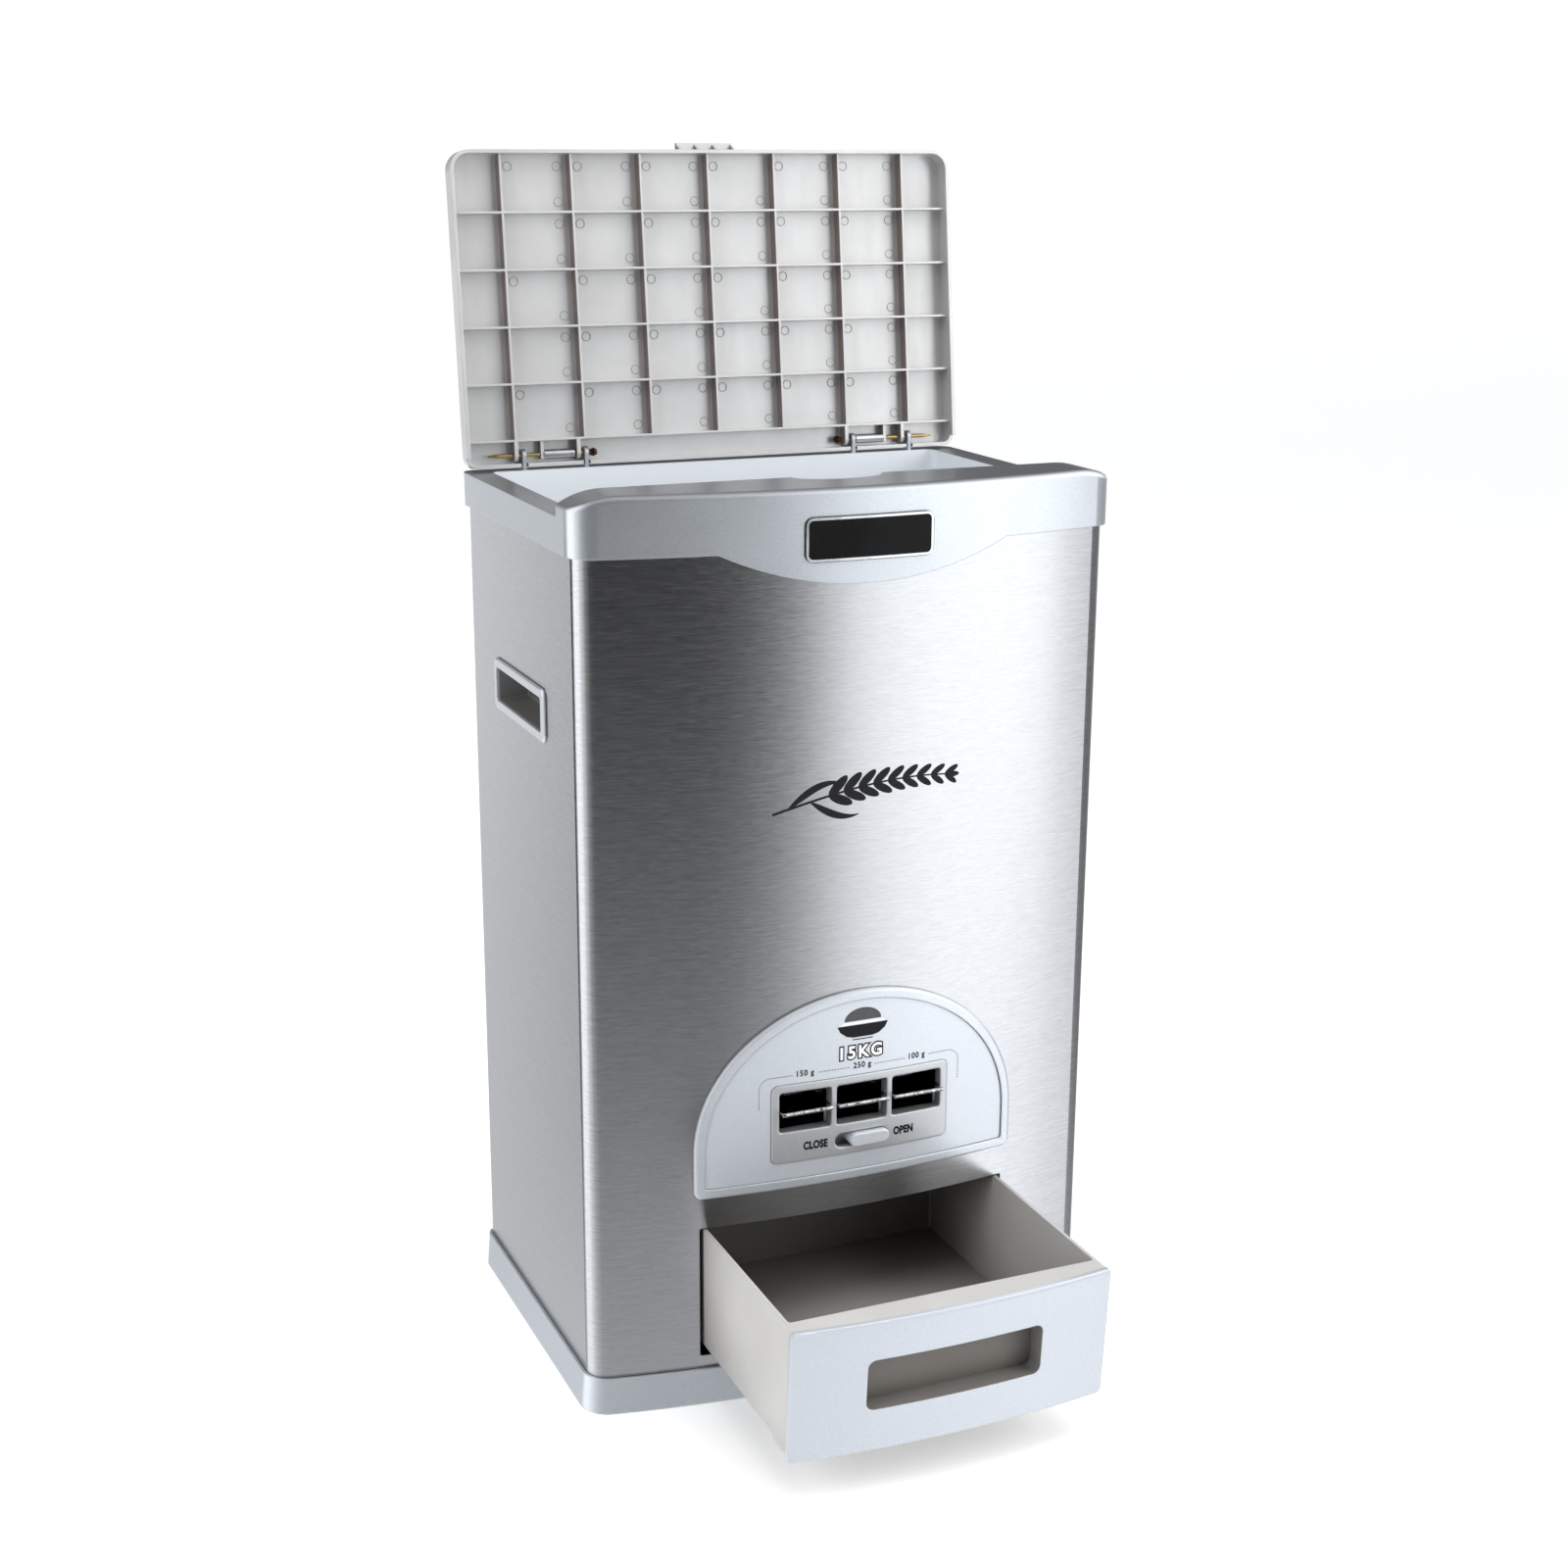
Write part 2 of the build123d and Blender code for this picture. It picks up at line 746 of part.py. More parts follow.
def make_lock_bar():
    back = -lock_bar_front + lock_bar_thickness
    low = lock_z - lock_bar_height / 2 + 0.3
    high = low + lock_bar_height
    half = lock_bar_half_length
    bar = block(-half + lock_travel, half, -lock_bar_front, back, low, high)
    for middle in window_middles:
        x = middle + window_pitch / 2
        bar += block(x - lock_tab_width / 2, x + lock_tab_width / 2, -lock_bar_front, back, low, lock_tab_top)
    return one(bar)


# Lid, drawn closed and then turned open about its hinge pins

def opened(shape):
    return shape.rotate(Axis((0, hinge_y, hinge_z), (1, 0, 0)), -lid_angle)


def lid_rim(inset):
    half = lid_half_width - inset
    outline = make_face(
        Polyline((-half, -lid_front + inset), (half, -lid_front + inset),
                 (half, hinge_y + lid_rear - inset), (-half, hinge_y + lid_rear - inset), close=True)
    )
    rear = outline.vertices().filter_by(lambda v: v.Y > 0)
    outline = fillet(rear, lid_corner_rear - inset)
    front = [v for v in outline.vertices() if v.Y < 0]
    return fillet(front, lid_corner_front - inset)


def lid_ear(x):
    half = ear_thickness / 2
    ear = rod(x - half, x + half, hinge_y, hinge_z, ear_radius)
    ear += block(x - half, x + half, hinge_y - first_cross_rib, hinge_y + ear_radius,
                 hinge_z, lid_under + 0.5)
    ear += block(x - half, x + half, hinge_y - first_cross_rib, hinge_y,
                 hinge_z - ear_radius, hinge_z)
    return ear


def make_lid():
    skirt_end = rim_top + lid_skirt_gap
    lid = prism(lid_rim(0), skirt_end, lid_top)
    lid = fillet(lid.faces().sort_by(Axis.Z)[-1].edges(), lid_edge_radius)
    lid -= prism(lid_rim(wall), skirt_end - 1, lid_under)
    rib_low = lid_under - rib_depth
    inside = lid_half_width - wall / 2
    for index in range(long_ribs):
        x = (index - (long_ribs - 1) / 2) * long_rib_pitch
        lid += block(x - rib / 2, x + rib / 2, -lid_front + wall / 2, hinge_y - first_cross_rib,
                     rib_low, lid_under + 0.5)
    for index in range(cross_ribs):
        y = hinge_y - first_cross_rib - index * cross_rib_pitch
        lid += block(-inside, inside, y - rib / 2, y + rib / 2, rib_low, lid_under + 0.5)
    rear = hinge_y + lid_rear + 1
    lid -= block(-lid_half_width - 1, lid_half_width + 1, hinge_y + 0.5, rear, skirt_end - 1,
                 rim_top + lid_hinge_relief)
    for side in (-1, 1):
        for place in frame_ears:
            x = side * hinge_spacing + place
            lid += lid_ear(x - ear_step)
            lid -= block(x - ear_thickness / 2 - notch_gap, x + ear_thickness / 2 + notch_gap,
                         hinge_y + ear_radius, rear, skirt_end - 1, lid_under)
        catch_x = side * (hinge_spacing - barrel_span[0] + catch_width / 2)
        lid += block(catch_x - catch_width / 2, catch_x + catch_width / 2, hinge_y - first_cross_rib,
                     hinge_y + pin_radius + 1.5, hinge_z - pin_radius - 0.6, lid_under + 0.5)
    bore = lid_half_width - 2 * wall
    lid -= rod(-bore, bore, hinge_y, hinge_z, pin_radius + running_gap)
    tab_high = lid_top - lid_edge_radius
    half = tab_width / 2
    lid += block(-half, half, -lid_front - tab_reach, -lid_front + wall / 2, tab_high - tab_thickness, tab_high)
    for index in range(tab_gussets):
        x = -half + rib / 2 + index * (tab_width - rib) / (tab_gussets - 1)
        lid += side_profile(
            [
                (-lid_front + wall / 2, tab_high - tab_thickness + 0.5),
                (-lid_front - tab_reach + 0.6, tab_high - tab_thickness + 0.5),
                (-lid_front + wall / 2, skirt_end + 1.5),
            ],
            x - rib / 2, x + rib / 2,
        )
    return opened(one(lid))


def make_hinge_pin(side):
    """A turned brass pin: a tapered tail at the outer end and a ball head at the inner end."""
    head = hinge_spacing - pin_inner
    tail = hinge_spacing + pin_outer
    ball = [(head - pin_head_radius * cos(radians(a)), pin_head_radius * sin(radians(a)))
            for a in (0, 45, 90, 130)]
    neck = head + sqrt(pin_head_radius**2 - pin_radius**2)
    outline = make_face(
        Polyline(*ball, (neck, pin_radius), (tail - pin_tail, pin_radius), (tail, pin_radius * 0.35),
                 (tail, 0), close=True)
    )
    pin = Pos(0, hinge_y, hinge_z) * revolve(outline, Axis.X)
    if side < 0:
        pin = mirror(pin, Plane.YZ)
    return opened(one(pin))


def make_hinge_barrel(side):
    start, end = sorted(side * (hinge_spacing - place) for place in barrel_span)
    tube = rod(start, end, hinge_y, hinge_z, barrel_radius)
    tube -= rod(start - 1, end + 1, hinge_y, hinge_z, pin_radius + running_gap)
    return opened(one(tube))


# Drawer, drawn shut and then pulled out along -Y

def pulled(shape):
    return Pos(0, -drawer_out, 0) * shape


def leaning(inset):
    """Everything behind the drawer's face, which is bowed like the cabinet and leans out at its top."""
    slope = front_lean / (front_high - front_low)
    low = front_low - 10.0
    high = front_high + 10.0
    radius = bow_radius + front_proud - inset
    cone = Cone(radius - 10 * slope, radius + front_lean + 10 * slope, high - low)
    return Pos(0, bow_centre, (low + high) / 2) * cone


def make_drawer_front():
    half = front_half_width
    outline = through_front(rounded(-half, half, front_low, front_high, front_radius))
    panel = (leaning(0) - leaning(front_thickness)) & outline
    ring = Torus(bow_radius + front_proud + front_lean - 0.6 * front_bead, front_bead)
    bead_half = half - front_radius * 0.6
    span = block(-bead_half, bead_half, -2 * body_front, 0, front_high - 2 * front_bead, front_high)
    panel += Pos(0, bow_centre, front_high - 0.7 * front_bead) * ring & span
    window = rounded(-pocket_half_width, pocket_half_width, pocket_low, pocket_low + pocket_height, pocket_radius)
    grown = rounded(-pocket_half_width - pocket_wall, pocket_half_width + pocket_wall, pocket_low - pocket_wall,
                    pocket_low + pocket_height + pocket_wall, pocket_radius + pocket_wall)
    panel += through_front(grown, near=tray_front) & leaning(front_thickness / 2)
    panel -= through_front(window, near=tray_front - 1)
    return pulled(one(panel))


def make_drawer_tray():
    half = tray_half_width
    tray_high = front_high - 0.5
    box = prism(rounded(-half, half, -tray_front, tray_back, tray_corner), tray_low, tray_high)
    box -= prism(
        rounded(-half + tray_wall, half - tray_wall, -tray_front + tray_wall, tray_back - tray_wall,
                tray_corner - tray_wall),
        tray_low + tray_wall, tray_high + 1,
    )
    nose = block(-half, half, -body_front - 15, -tray_front + tray_corner, tray_high - tray_wall, tray_high)
    nose -= block(-half + tray_wall, half - tray_wall, -tray_front + tray_wall, 0, 0, tray_high + 1)
    for side in (-1, 1):
        x0, x1 = sorted((side * half, side * (half - tray_wall)))
        nose += block(x0, x1, -body_front - 15, -tray_front + tray_corner, nose_low, tray_high)
        nose += block(x0, x1, -tray_front, -nose_back, nose_low, tray_low + tray_wall)
        x0, x1 = sorted((side * (half - 1), side * (half - 1 - runner_width)))
        box += block(x0, x1, -nose_back, tray_back - 5, tray_low - runner_height, tray_low + 0.5)
    nose += block(-half, half, -nose_back - tray_wall, -nose_back, nose_low, tray_low + tray_wall)
    box += nose & leaning(front_thickness + fit_gap / 2)
    return pulled(one(box))


def make_rail(side):
    wall_face = bay_half_width - bay_wall
    low = tray_low - runner_height - rail_gap - rail
    high = front_high + rail_gap
    front = -rail_front
    rail_body = block(wall_face - rail, wall_face, front, bay_back - 6, low, high + rail)
    rail_body += block(wall_face - rail_reach - rail, wall_face, front, bay_back - 6, low, low + rail)
    rail_body += block(wall_face - rail_reach, wall_face, front, bay_back - 6, high, high + rail)
    rail_body -= block(wall_face - rail - 1, wall_face + 1, front + 20, bay_back - 26, low + 12, high - 12)
    rail_body = one(rail_body)
    return rail_body if side > 0 else one(mirror(rail_body, Plane.YZ))


def make_drawer_bay():
    half = bay_half_width
    inner = half - bay_wall
    bay = block(-half, half, -body_front, bay_back, base_floor, bay_top)
    bay -= block(-inner, inner, -body_front - 1, bay_back - bay_wall, base_floor - 1, bay_top - bay_wall)
    bay &= prism(plan(-steel - wall - fit_gap), 0, bay_top + 10)
    hole_half = box_half_width - chamber_wall
    bay -= block(-hole_half, hole_half, -chamber_front - 2, -outlet_back + 2, bay_top - 5, bay_top + 5)
    return one(bay)


os.makedirs("parts", exist_ok=True)

pieces = {
    "base": make_base(),
    "foot_pads": make_pads(),
    "body_wrap": make_wrap(),
    "back_panel": make_back_panel(),
    "top_frame": make_top_frame(),
    "badge_plate": make_badge(),
    "left_handle": make_handle(-1),
    "right_handle": make_handle(1),
    "hopper_liner": make_liner(),
    "hopper_funnel": make_funnel(),
    "metering_box": make_metering_box(),
    "lever_shaft": make_shaft(),
    "panel_bezel": make_bezel(),
    "panel_face": make_face_plate(),
    "lever_plate": make_lever_plate(),
    "lock_knob": make_lock_knob(),
    "lock_bar": make_lock_bar(),
    "lid": make_lid(),
    "left_hinge_pin": make_hinge_pin(-1),
    "right_hinge_pin": make_hinge_pin(1),
    "left_hinge_barrel": make_hinge_barrel(-1),
    "right_hinge_barrel": make_hinge_barrel(1),
    "drawer_front": make_drawer_front(),
    "drawer_tray": make_drawer_tray(),
    "left_rail": make_rail(-1),
    "right_rail": make_rail(1),
    "drawer_bay": make_drawer_bay(),
}
for index, name in enumerate(portion_names):
    pieces[f"lever_{name}g"] = make_lever(index)
    pieces[f"gate_{name}g"] = make_gate(index)

for name, piece in pieces.items():
    export_step(piece, f"parts/{name}.step")
    print(name, [round(size, 1) for size in piece.bounding_box().size], len(piece.solids()))
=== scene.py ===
import bpy
import bmesh
from math import cos, pi, radians, sin, sqrt
from mathutils import Matrix, Vector
from mathutils.geometry import tessellate_polygon


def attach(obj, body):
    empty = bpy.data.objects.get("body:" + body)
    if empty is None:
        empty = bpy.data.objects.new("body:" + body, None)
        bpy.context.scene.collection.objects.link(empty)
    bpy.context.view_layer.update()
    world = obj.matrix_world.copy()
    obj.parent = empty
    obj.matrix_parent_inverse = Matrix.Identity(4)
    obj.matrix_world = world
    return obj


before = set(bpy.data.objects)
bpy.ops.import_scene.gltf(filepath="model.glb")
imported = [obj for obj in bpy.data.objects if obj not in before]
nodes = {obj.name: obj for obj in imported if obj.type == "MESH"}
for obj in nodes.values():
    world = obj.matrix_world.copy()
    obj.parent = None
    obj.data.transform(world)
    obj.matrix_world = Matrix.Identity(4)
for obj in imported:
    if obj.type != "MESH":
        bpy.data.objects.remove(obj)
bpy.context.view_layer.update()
mm = 0.001
print("dispenser frame loaded:", len(nodes), "nodes")

# camera
cameraSet = dict(yaw=23.2528, pitch=15.612, roll=-0.2787, lens=53.386, sensor=36, near=0.05, far=60,
                 place=(-0.54421, -1.27479, 0.72899))


def placeCamera():
    yaw, pitch, roll = (radians(cameraSet[k]) for k in ("yaw", "pitch", "roll"))
    ahead = Vector((sin(yaw) * cos(pitch), cos(yaw) * cos(pitch), -sin(pitch)))
    side = Vector((cos(yaw), -sin(yaw), 0))
    down = ahead.cross(side)
    right = side * cos(roll) + down * sin(roll)
    below = down * cos(roll) - side * sin(roll)
    data = bpy.data.cameras.new("camera")
    data.lens = cameraSet["lens"]
    data.sensor_width = cameraSet["sensor"]
    data.clip_start, data.clip_end = cameraSet["near"], cameraSet["far"]
    camera = bpy.data.objects.new("camera", data)
    bpy.context.scene.collection.objects.link(camera)
    turn = Matrix((right, -below, -ahead)).transposed().to_4x4()
    camera.matrix_world = Matrix.Translation(cameraSet["place"]) @ turn
    bpy.context.scene.camera = camera


placeCamera()
bpy.context.scene.view_settings.view_transform = "Standard"


# small tools for node trees
def addNode(tree, kind, **settings):
    node = tree.nodes.new(kind)
    for key, value in settings.items():
        setattr(node, key, value)
    return node


def wire(tree, *pairs):
    for source, target in pairs:
        tree.links.new(source, target)


def calc(tree, kind, *values):
    # one Math node, on numbers or sockets
    step = addNode(tree, "ShaderNodeMath", operation=kind)
    for socket, value in zip(step.inputs, values):
        if isinstance(value, (int, float)):
            socket.default_value = value
        else:
            tree.links.new(value, socket)
    return step.outputs[0]


def allOf(tree, *shares):
    # the product of shares that each run from 0 to 1
    whole = shares[0]
    for share in shares[1:]:
        whole = calc(tree, "MULTIPLY", whole, share)
    return whole


def between(tree, source, low, high, fromLow=0.3, fromHigh=0.7, ease="LINEAR"):
    # fromLow to fromHigh of the source becomes low to high, and stays there beyond
    spread = addNode(tree, "ShaderNodeMapRange", interpolation_type=ease)
    for key, value in (("From Min", fromLow), ("From Max", fromHigh), ("To Min", low), ("To Max", high)):
        spread.inputs[key].default_value = value
    tree.links.new(source, spread.inputs["Value"])
    return spread.outputs["Result"]


def mixed(tree, share, first, second):
    # from the first colour to the second; each is a socket or a plain colour
    mix = addNode(tree, "ShaderNodeMix", data_type="RGBA")
    for key, colour in (("A", first), ("B", second)):
        if isinstance(colour, tuple):
            mix.inputs[key].default_value = (*colour, 1)
        else:
            tree.links.new(colour, mix.inputs[key])
    tree.links.new(share, mix.inputs["Factor"])
    return mix.outputs["Result"]


def axesOf(tree, source="Object"):
    # x, y and z of a point on the piece, or of its Normal
    where = addNode(tree, "ShaderNodeTexCoord")
    split = addNode(tree, "ShaderNodeSeparateXYZ")
    tree.links.new(where.outputs[source], split.inputs["Vector"])
    return split.outputs


# studio
# light by compass bearing from the front, clockwise seen from above: degrees, brightness;
# each ring is one height of the studio, from the floor upwards
studioSet = dict(
    under=((-180, 0.95), (-163, 0.9), (-150, 0.5), (-138, 1.2), (-104, 1.2), (-84, 0.9), (-62, 0.8),
           (-42, 0.7), (8, 0.68), (18, 0.8), (28, 1.1), (47, 1.3), (55, 0.95), (66, 0.5), (110, 0.5),
           (140, 0.9), (180, 0.95)),
    low=((-180, 0.98), (-166, 1.03), (-161, 0.5), (-156, 0.06), (-142, 0.06), (-136, 0.9), (-130, 1.5),
         (-104, 1.4), (-84, 0.8), (-62, 0.3), (-42, 0.14), (8, 0.14), (14, 0.3), (19, 0.7), (25, 1.2),
         (36, 1.55), (46, 1.5), (54, 1.05), (58, 0.6), (66, 0.25), (110, 0.2), (140, 0.8), (180, 1.0)),
    level=((-180, 1.0), (-166, 1.13), (-161, 0.55), (-156, 0.03), (-142, 0.03), (-136, 0.9), (-130, 1.6),
           (-104, 1.5), (-84, 0.8), (-62, 0.2), (-42, 0.03), (-22, 0.0), (10, 0.0), (16, 0.1), (20, 0.6),
           (24, 1.45), (34, 1.7), (49, 1.85), (52, 1.3), (55.5, 0.3), (64, 0.08), (110, 0.2), (140, 0.9),
           (180, 0.95)),
    raised=((-180, 0.12), (-150, 0.15), (-134, 1.3), (-104, 1.4), (-84, 1.0), (-62, 0.3), (-42, 0.03),
            (9, 0.0), (16, 0.2), (23, 1.4), (34, 1.6), (50, 1.7), (70, 1.6), (95, 1.2), (120, 0.5),
            (138, 0.15), (180, 0.12)),
    steps=((-0.52, -0.38), (-0.33, -0.22), (-0.04, 0.04)), roofStep=(0.6, 0.92), roof=(0.5, 0.5, 0.5),
    tint=(0.965, 0.985, 1.0), strength=1.0)
# softboxes: place, aim, width and height, watts, colour
lightSet = dict(
    overhead_softbox=((0.1, -0.5, 2.1), (0, 0, 0.3), (1.8, 1.4), 19, (1.0, 0.99, 0.975)),
    left_softbox=((-2.0, -1.0, 1.3), (0, 0, 0.3), (1.0, 1.6), 19, (0.94, 0.97, 1.0)),
    right_softbox=((1.7, -1.5, 1.2), (0, 0, 0.3), (0.9, 1.6), 22, (1.0, 0.99, 0.98)))


def makeWorld():
    world = bpy.data.worlds.new("studio")
    bpy.context.scene.world = world
    world.use_nodes = True
    tree = world.node_tree
    tree.nodes.clear()
    ray = axesOf(tree, "Generated")
    bearing = calc(tree, "ARCTAN2", ray["X"], calc(tree, "MULTIPLY", ray["Y"], -1))
    around = between(tree, bearing, 0, 1, -pi, pi)

    def ringColour(band):
        top = max(bright for angle, bright in studioSet[band])
        ramp = addNode(tree, "ShaderNodeValToRGB")
        ramp.color_ramp.interpolation = "EASE"
        stops = ramp.color_ramp.elements
        while len(stops) < len(studioSet[band]):
            stops.new(0.5)
        for stop, (angle, bright) in zip(stops, studioSet[band]):
            stop.position = (angle + 180) / 360
            stop.color = tuple(bright / top * t for t in studioSet["tint"]) + (1,)
        gain = addNode(tree, "ShaderNodeVectorMath", operation="SCALE")  # a ramp stops at 1, the ring doesn't
        gain.inputs["Scale"].default_value = top
        wire(tree, (around, ramp.inputs["Fac"]), (ramp.outputs["Color"], gain.inputs[0]))
        return gain.outputs["Vector"]

    whole = ringColour("under")
    rings = [ringColour(band) for band in ("low", "level", "raised")]
    for (low, high), ring in zip((*studioSet["steps"], studioSet["roofStep"]), (*rings, studioSet["roof"])):
        whole = mixed(tree, between(tree, ray["Z"], 0, 1, low, high, "SMOOTHSTEP"), whole, ring)
    light = addNode(tree, "ShaderNodeBackground")
    light.inputs["Strength"].default_value = studioSet["strength"]
    out = addNode(tree, "ShaderNodeOutputWorld")
    wire(tree, (whole, light.inputs["Color"]), (light.outputs[0], out.inputs["Surface"]))


def softLight(name, place, aim, size, power, colour):
    data = bpy.data.lights.new(name, "AREA")
    data.shape = "RECTANGLE"
    data.size, data.size_y = size
    data.energy = power
    data.color = colour
    lamp = bpy.data.objects.new(name, data)
    bpy.context.scene.collection.objects.link(lamp)
    lamp.location = place
    lamp.rotation_euler = (Vector(aim) - Vector(place)).to_track_quat("-Z", "Y").to_euler()
    lamp.visible_glossy = False  # mirrors see the rings only


makeWorld()
for name, lamp in lightSet.items():
    softLight(name, *lamp)
print("camera and studio placed")


# finishes
def newFinish(name, colour, metal, rough):
    finish = bpy.data.materials.new(name)
    finish.use_nodes = True
    tree = finish.node_tree
    shader = tree.nodes["Principled BSDF"]
    shader.inputs["Base Color"].default_value = (*colour, 1)
    shader.inputs["Metallic"].default_value = metal
    shader.inputs["Roughness"].default_value = rough
    return finish, tree, shader


def grainField(tree, rates, detail=4.0, ruggedness=0.55):
    # noise on the piece's own coordinates, with one repeat rate for each axis
    where = addNode(tree, "ShaderNodeTexCoord")
    scaled = addNode(tree, "ShaderNodeMapping")
    scaled.inputs["Scale"].default_value = rates
    noise = addNode(tree, "ShaderNodeTexNoise")
    for key, value in (("Scale", 1), ("Detail", detail), ("Roughness", ruggedness)):
        noise.inputs[key].default_value = value
    wire(tree, (where.outputs["Object"], scaled.inputs["Vector"]),
         (scaled.outputs["Vector"], noise.inputs["Vector"]))
    return noise.outputs["Fac"]


def roundedNormal(tree, radius):
    corner = addNode(tree, "ShaderNodeBevel", samples=4)
    corner.inputs["Radius"].default_value = radius
    return corner.outputs["Normal"]


def relief(tree, shader, source, depth, strength, rounding=0.0):
    # surface texture; rounding softens the light on sharp corners by that radius
    bump = addNode(tree, "ShaderNodeBump")
    bump.inputs["Distance"].default_value = depth
    bump.inputs["Strength"].default_value = strength
    tree.links.new(source, bump.inputs["Height"])
    if rounding:
        tree.links.new(roundedNormal(tree, rounding), bump.inputs["Normal"])
    tree.links.new(bump.outputs["Normal"], shader.inputs["Normal"])


def openness(tree, reach, samples):
    # how much of the surroundings within reach a point sees
    shade = addNode(tree, "ShaderNodeAmbientOcclusion", samples=samples)
    shade.inputs["Distance"].default_value = reach
    return shade.outputs["AO"]


def seams(tree, colour, reach, dark=0.25):
    # painted shade: the colour, darker along the narrow gaps between pieces, where little of the surroundings
    # is open
    mix = addNode(tree, "ShaderNodeMix", data_type="RGBA", blend_type="MULTIPLY")
    mix.inputs["Factor"].default_value = 1
    wire(tree, (colour, mix.inputs["A"]),
         (between(tree, openness(tree, reach, 6), dark, 1, 0.45, 0.8), mix.inputs["B"]))
    return mix.outputs["Result"]


def edges(tree, colour, radius, bright):
    # painted highlight: the colour, brighter on sharp edges, where the rounded normal leans away from the true
    # one
    true = addNode(tree, "ShaderNodeNewGeometry")
    lean = addNode(tree, "ShaderNodeVectorMath", operation="DOT_PRODUCT")
    wire(tree, (roundedNormal(tree, radius), lean.inputs[0]), (true.outputs["Normal"], lean.inputs[1]))
    return mixed(tree, between(tree, lean.outputs["Value"], 1, 0, 0.86, 0.985), colour, bright)


# body wrap: brushed all round, one coarse and one fine grain, with painted shade along the gaps
steelSet = dict(broad=(50, 50, 620), fine=(150, 150, 1500), dark=(0.545, 0.548, 0.568),
                light=(0.715, 0.72, 0.742), rough=(0.21, 0.27), smear=0.6, smearTurn=0.25,
                seam=0.0012, seamShade=0.35, depth=0.00001, strength=0.16)


def brushedSteel():
    s = steelSet
    finish, tree, shader = newFinish("brushed_steel_look", (0.62, 0.62, 0.63), 1.0, 0.27)
    fine = grainField(tree, s["fine"], 3, 0.75)
    brushing = calc(tree, "ADD", between(tree, grainField(tree, s["broad"], 3, 0.6), 0, 0.3),
                    between(tree, fine, 0, 0.7))
    around = addNode(tree, "ShaderNodeTangent", direction_type="RADIAL", axis="Z")
    shader.inputs["Anisotropic"].default_value = s["smear"]
    shader.inputs["Anisotropic Rotation"].default_value = s["smearTurn"]
    # painted shade darkens the steel along the gaps between pieces
    wire(tree, (seams(tree, mixed(tree, brushing, s["dark"], s["light"]), s["seam"], s["seamShade"]),
                shader.inputs["Base Color"]),
         (between(tree, brushing, *s["rough"], 0, 1), shader.inputs["Roughness"]),
         (around.outputs["Tangent"], shader.inputs["Tangent"]))
    relief(tree, shader, fine, s["depth"], s["strength"])
    return finish


# silver paint: darkest and lightest flake, corner rounding, which is also the width of the painted edge
# highlight, share of metal
silverSet = dict(
    silver_paint=((0.67, 0.70, 0.745), (0.80, 0.83, 0.875), 0.0009, 0.85),
    satin_silver_paint=((0.64, 0.68, 0.735), (0.73, 0.77, 0.825), 0.0005, 0.45),
    drawer_silver_paint=((0.56, 0.595, 0.65), (0.64, 0.68, 0.735), 0.0011, 0.35),
    grip_silver_paint=((0.72, 0.75, 0.79), (0.84, 0.865, 0.90), 0.0006, 0.7),
    moulded_silver_paint=((0.66, 0.70, 0.755), (0.77, 0.81, 0.865), 0.0014, 0.6),
    plate_silver_paint=((0.55, 0.565, 0.59), (0.64, 0.655, 0.68), 0.0019, 0.65))
# the edge colour is the painted highlight on sharp edges
paintSet = dict(flake=(1500, 1500, 1500), cloud=(14, 14, 14), rough=(0.30, 0.37), coatRough=0.2,
                edge=(0.93, 0.95, 0.97), seam=0.001, depth=0.00003, strength=0.6)
# painted shade in the pockets of the drawer and the grips: where each lies and its dark tone
pocketSet = dict(drawerHalf=0.0555, drawerLow=0.0545, drawerHigh=0.0892, drawerShadeTone=(0.30, 0.285, 0.27),
                 gripFrom=0.1634, gripShadeTone=(0.34, 0.335, 0.33), step=0.0002)


def flakes(tree, dark, light):
    # fine metal flakes, for the paint's tone and its relief
    flake = grainField(tree, paintSet["flake"], 2, 0.7)
    return flake, mixed(tree, between(tree, flake, 0, 1, 0.35, 0.65), dark, light)


def paintSurface(tree, shader, flake, coat, rounding):
    # what the silver paints share: clouded roughness, a clear coat and the flakes' relief
    p = paintSet
    cloud = between(tree, grainField(tree, p["cloud"], 3), *p["rough"])
    tree.links.new(cloud, shader.inputs["Roughness"])
    shader.inputs["Coat Weight"].default_value = coat
    shader.inputs["Coat Roughness"].default_value = p["coatRough"]
    relief(tree, shader, flake, p["depth"], p["strength"], rounding)


def drawerPocketShade(tree, tone):
    # painted shade: the walls of the drawer's pocket take a dark warm tone, the moulding's colour darkened as
    # in shade
    half, low, high, step = (pocketSet[k] for k in ("drawerHalf", "drawerLow", "drawerHigh", "step"))
    place = axesOf(tree)
    share = allOf(tree, between(tree, axesOf(tree, "Normal")["Y"], 0, 1, -0.8, -0.5),
                  between(tree, place["X"], 0, 1, half + step, half),
                  between(tree, place["X"], 0, 1, -half - step, -half),
                  between(tree, place["Z"], 0, 1, low - step, low),
                  between(tree, place["Z"], 0, 1, high + step, high))
    return mixed(tree, share, tone, pocketSet["drawerShadeTone"])


def gripPocketShade(tree, tone):
    # painted shade: the grip's pocket, nearer to the middle than the steel's side, is darker
    sideways = calc(tree, "ABSOLUTE", axesOf(tree)["X"])
    share = between(tree, sideways, 1, 0, pocketSet["gripFrom"] - 0.0005, pocketSet["gripFrom"] + 0.0003)
    return mixed(tree, share, tone, pocketSet["gripShadeTone"])


def silverPaint(name, pocketShade=None):
    dark, light, rounding, metal = silverSet[name]
    finish, tree, shader = newFinish(name, light, metal, 0.36)
    flake, tone = flakes(tree, dark, light)
    # painted shade along the gaps between pieces
    tone = seams(tree, tone, paintSet["seam"])
    # painted shade in the piece's pocket, if it has one
    if pocketShade:
        tone = pocketShade(tree, tone)
    # painted highlight on sharp edges
    tree.links.new(edges(tree, tone, rounding, paintSet["edge"]), shader.inputs["Base Color"])
    paintSurface(tree, shader, flake, 0.25, rounding)
    return finish
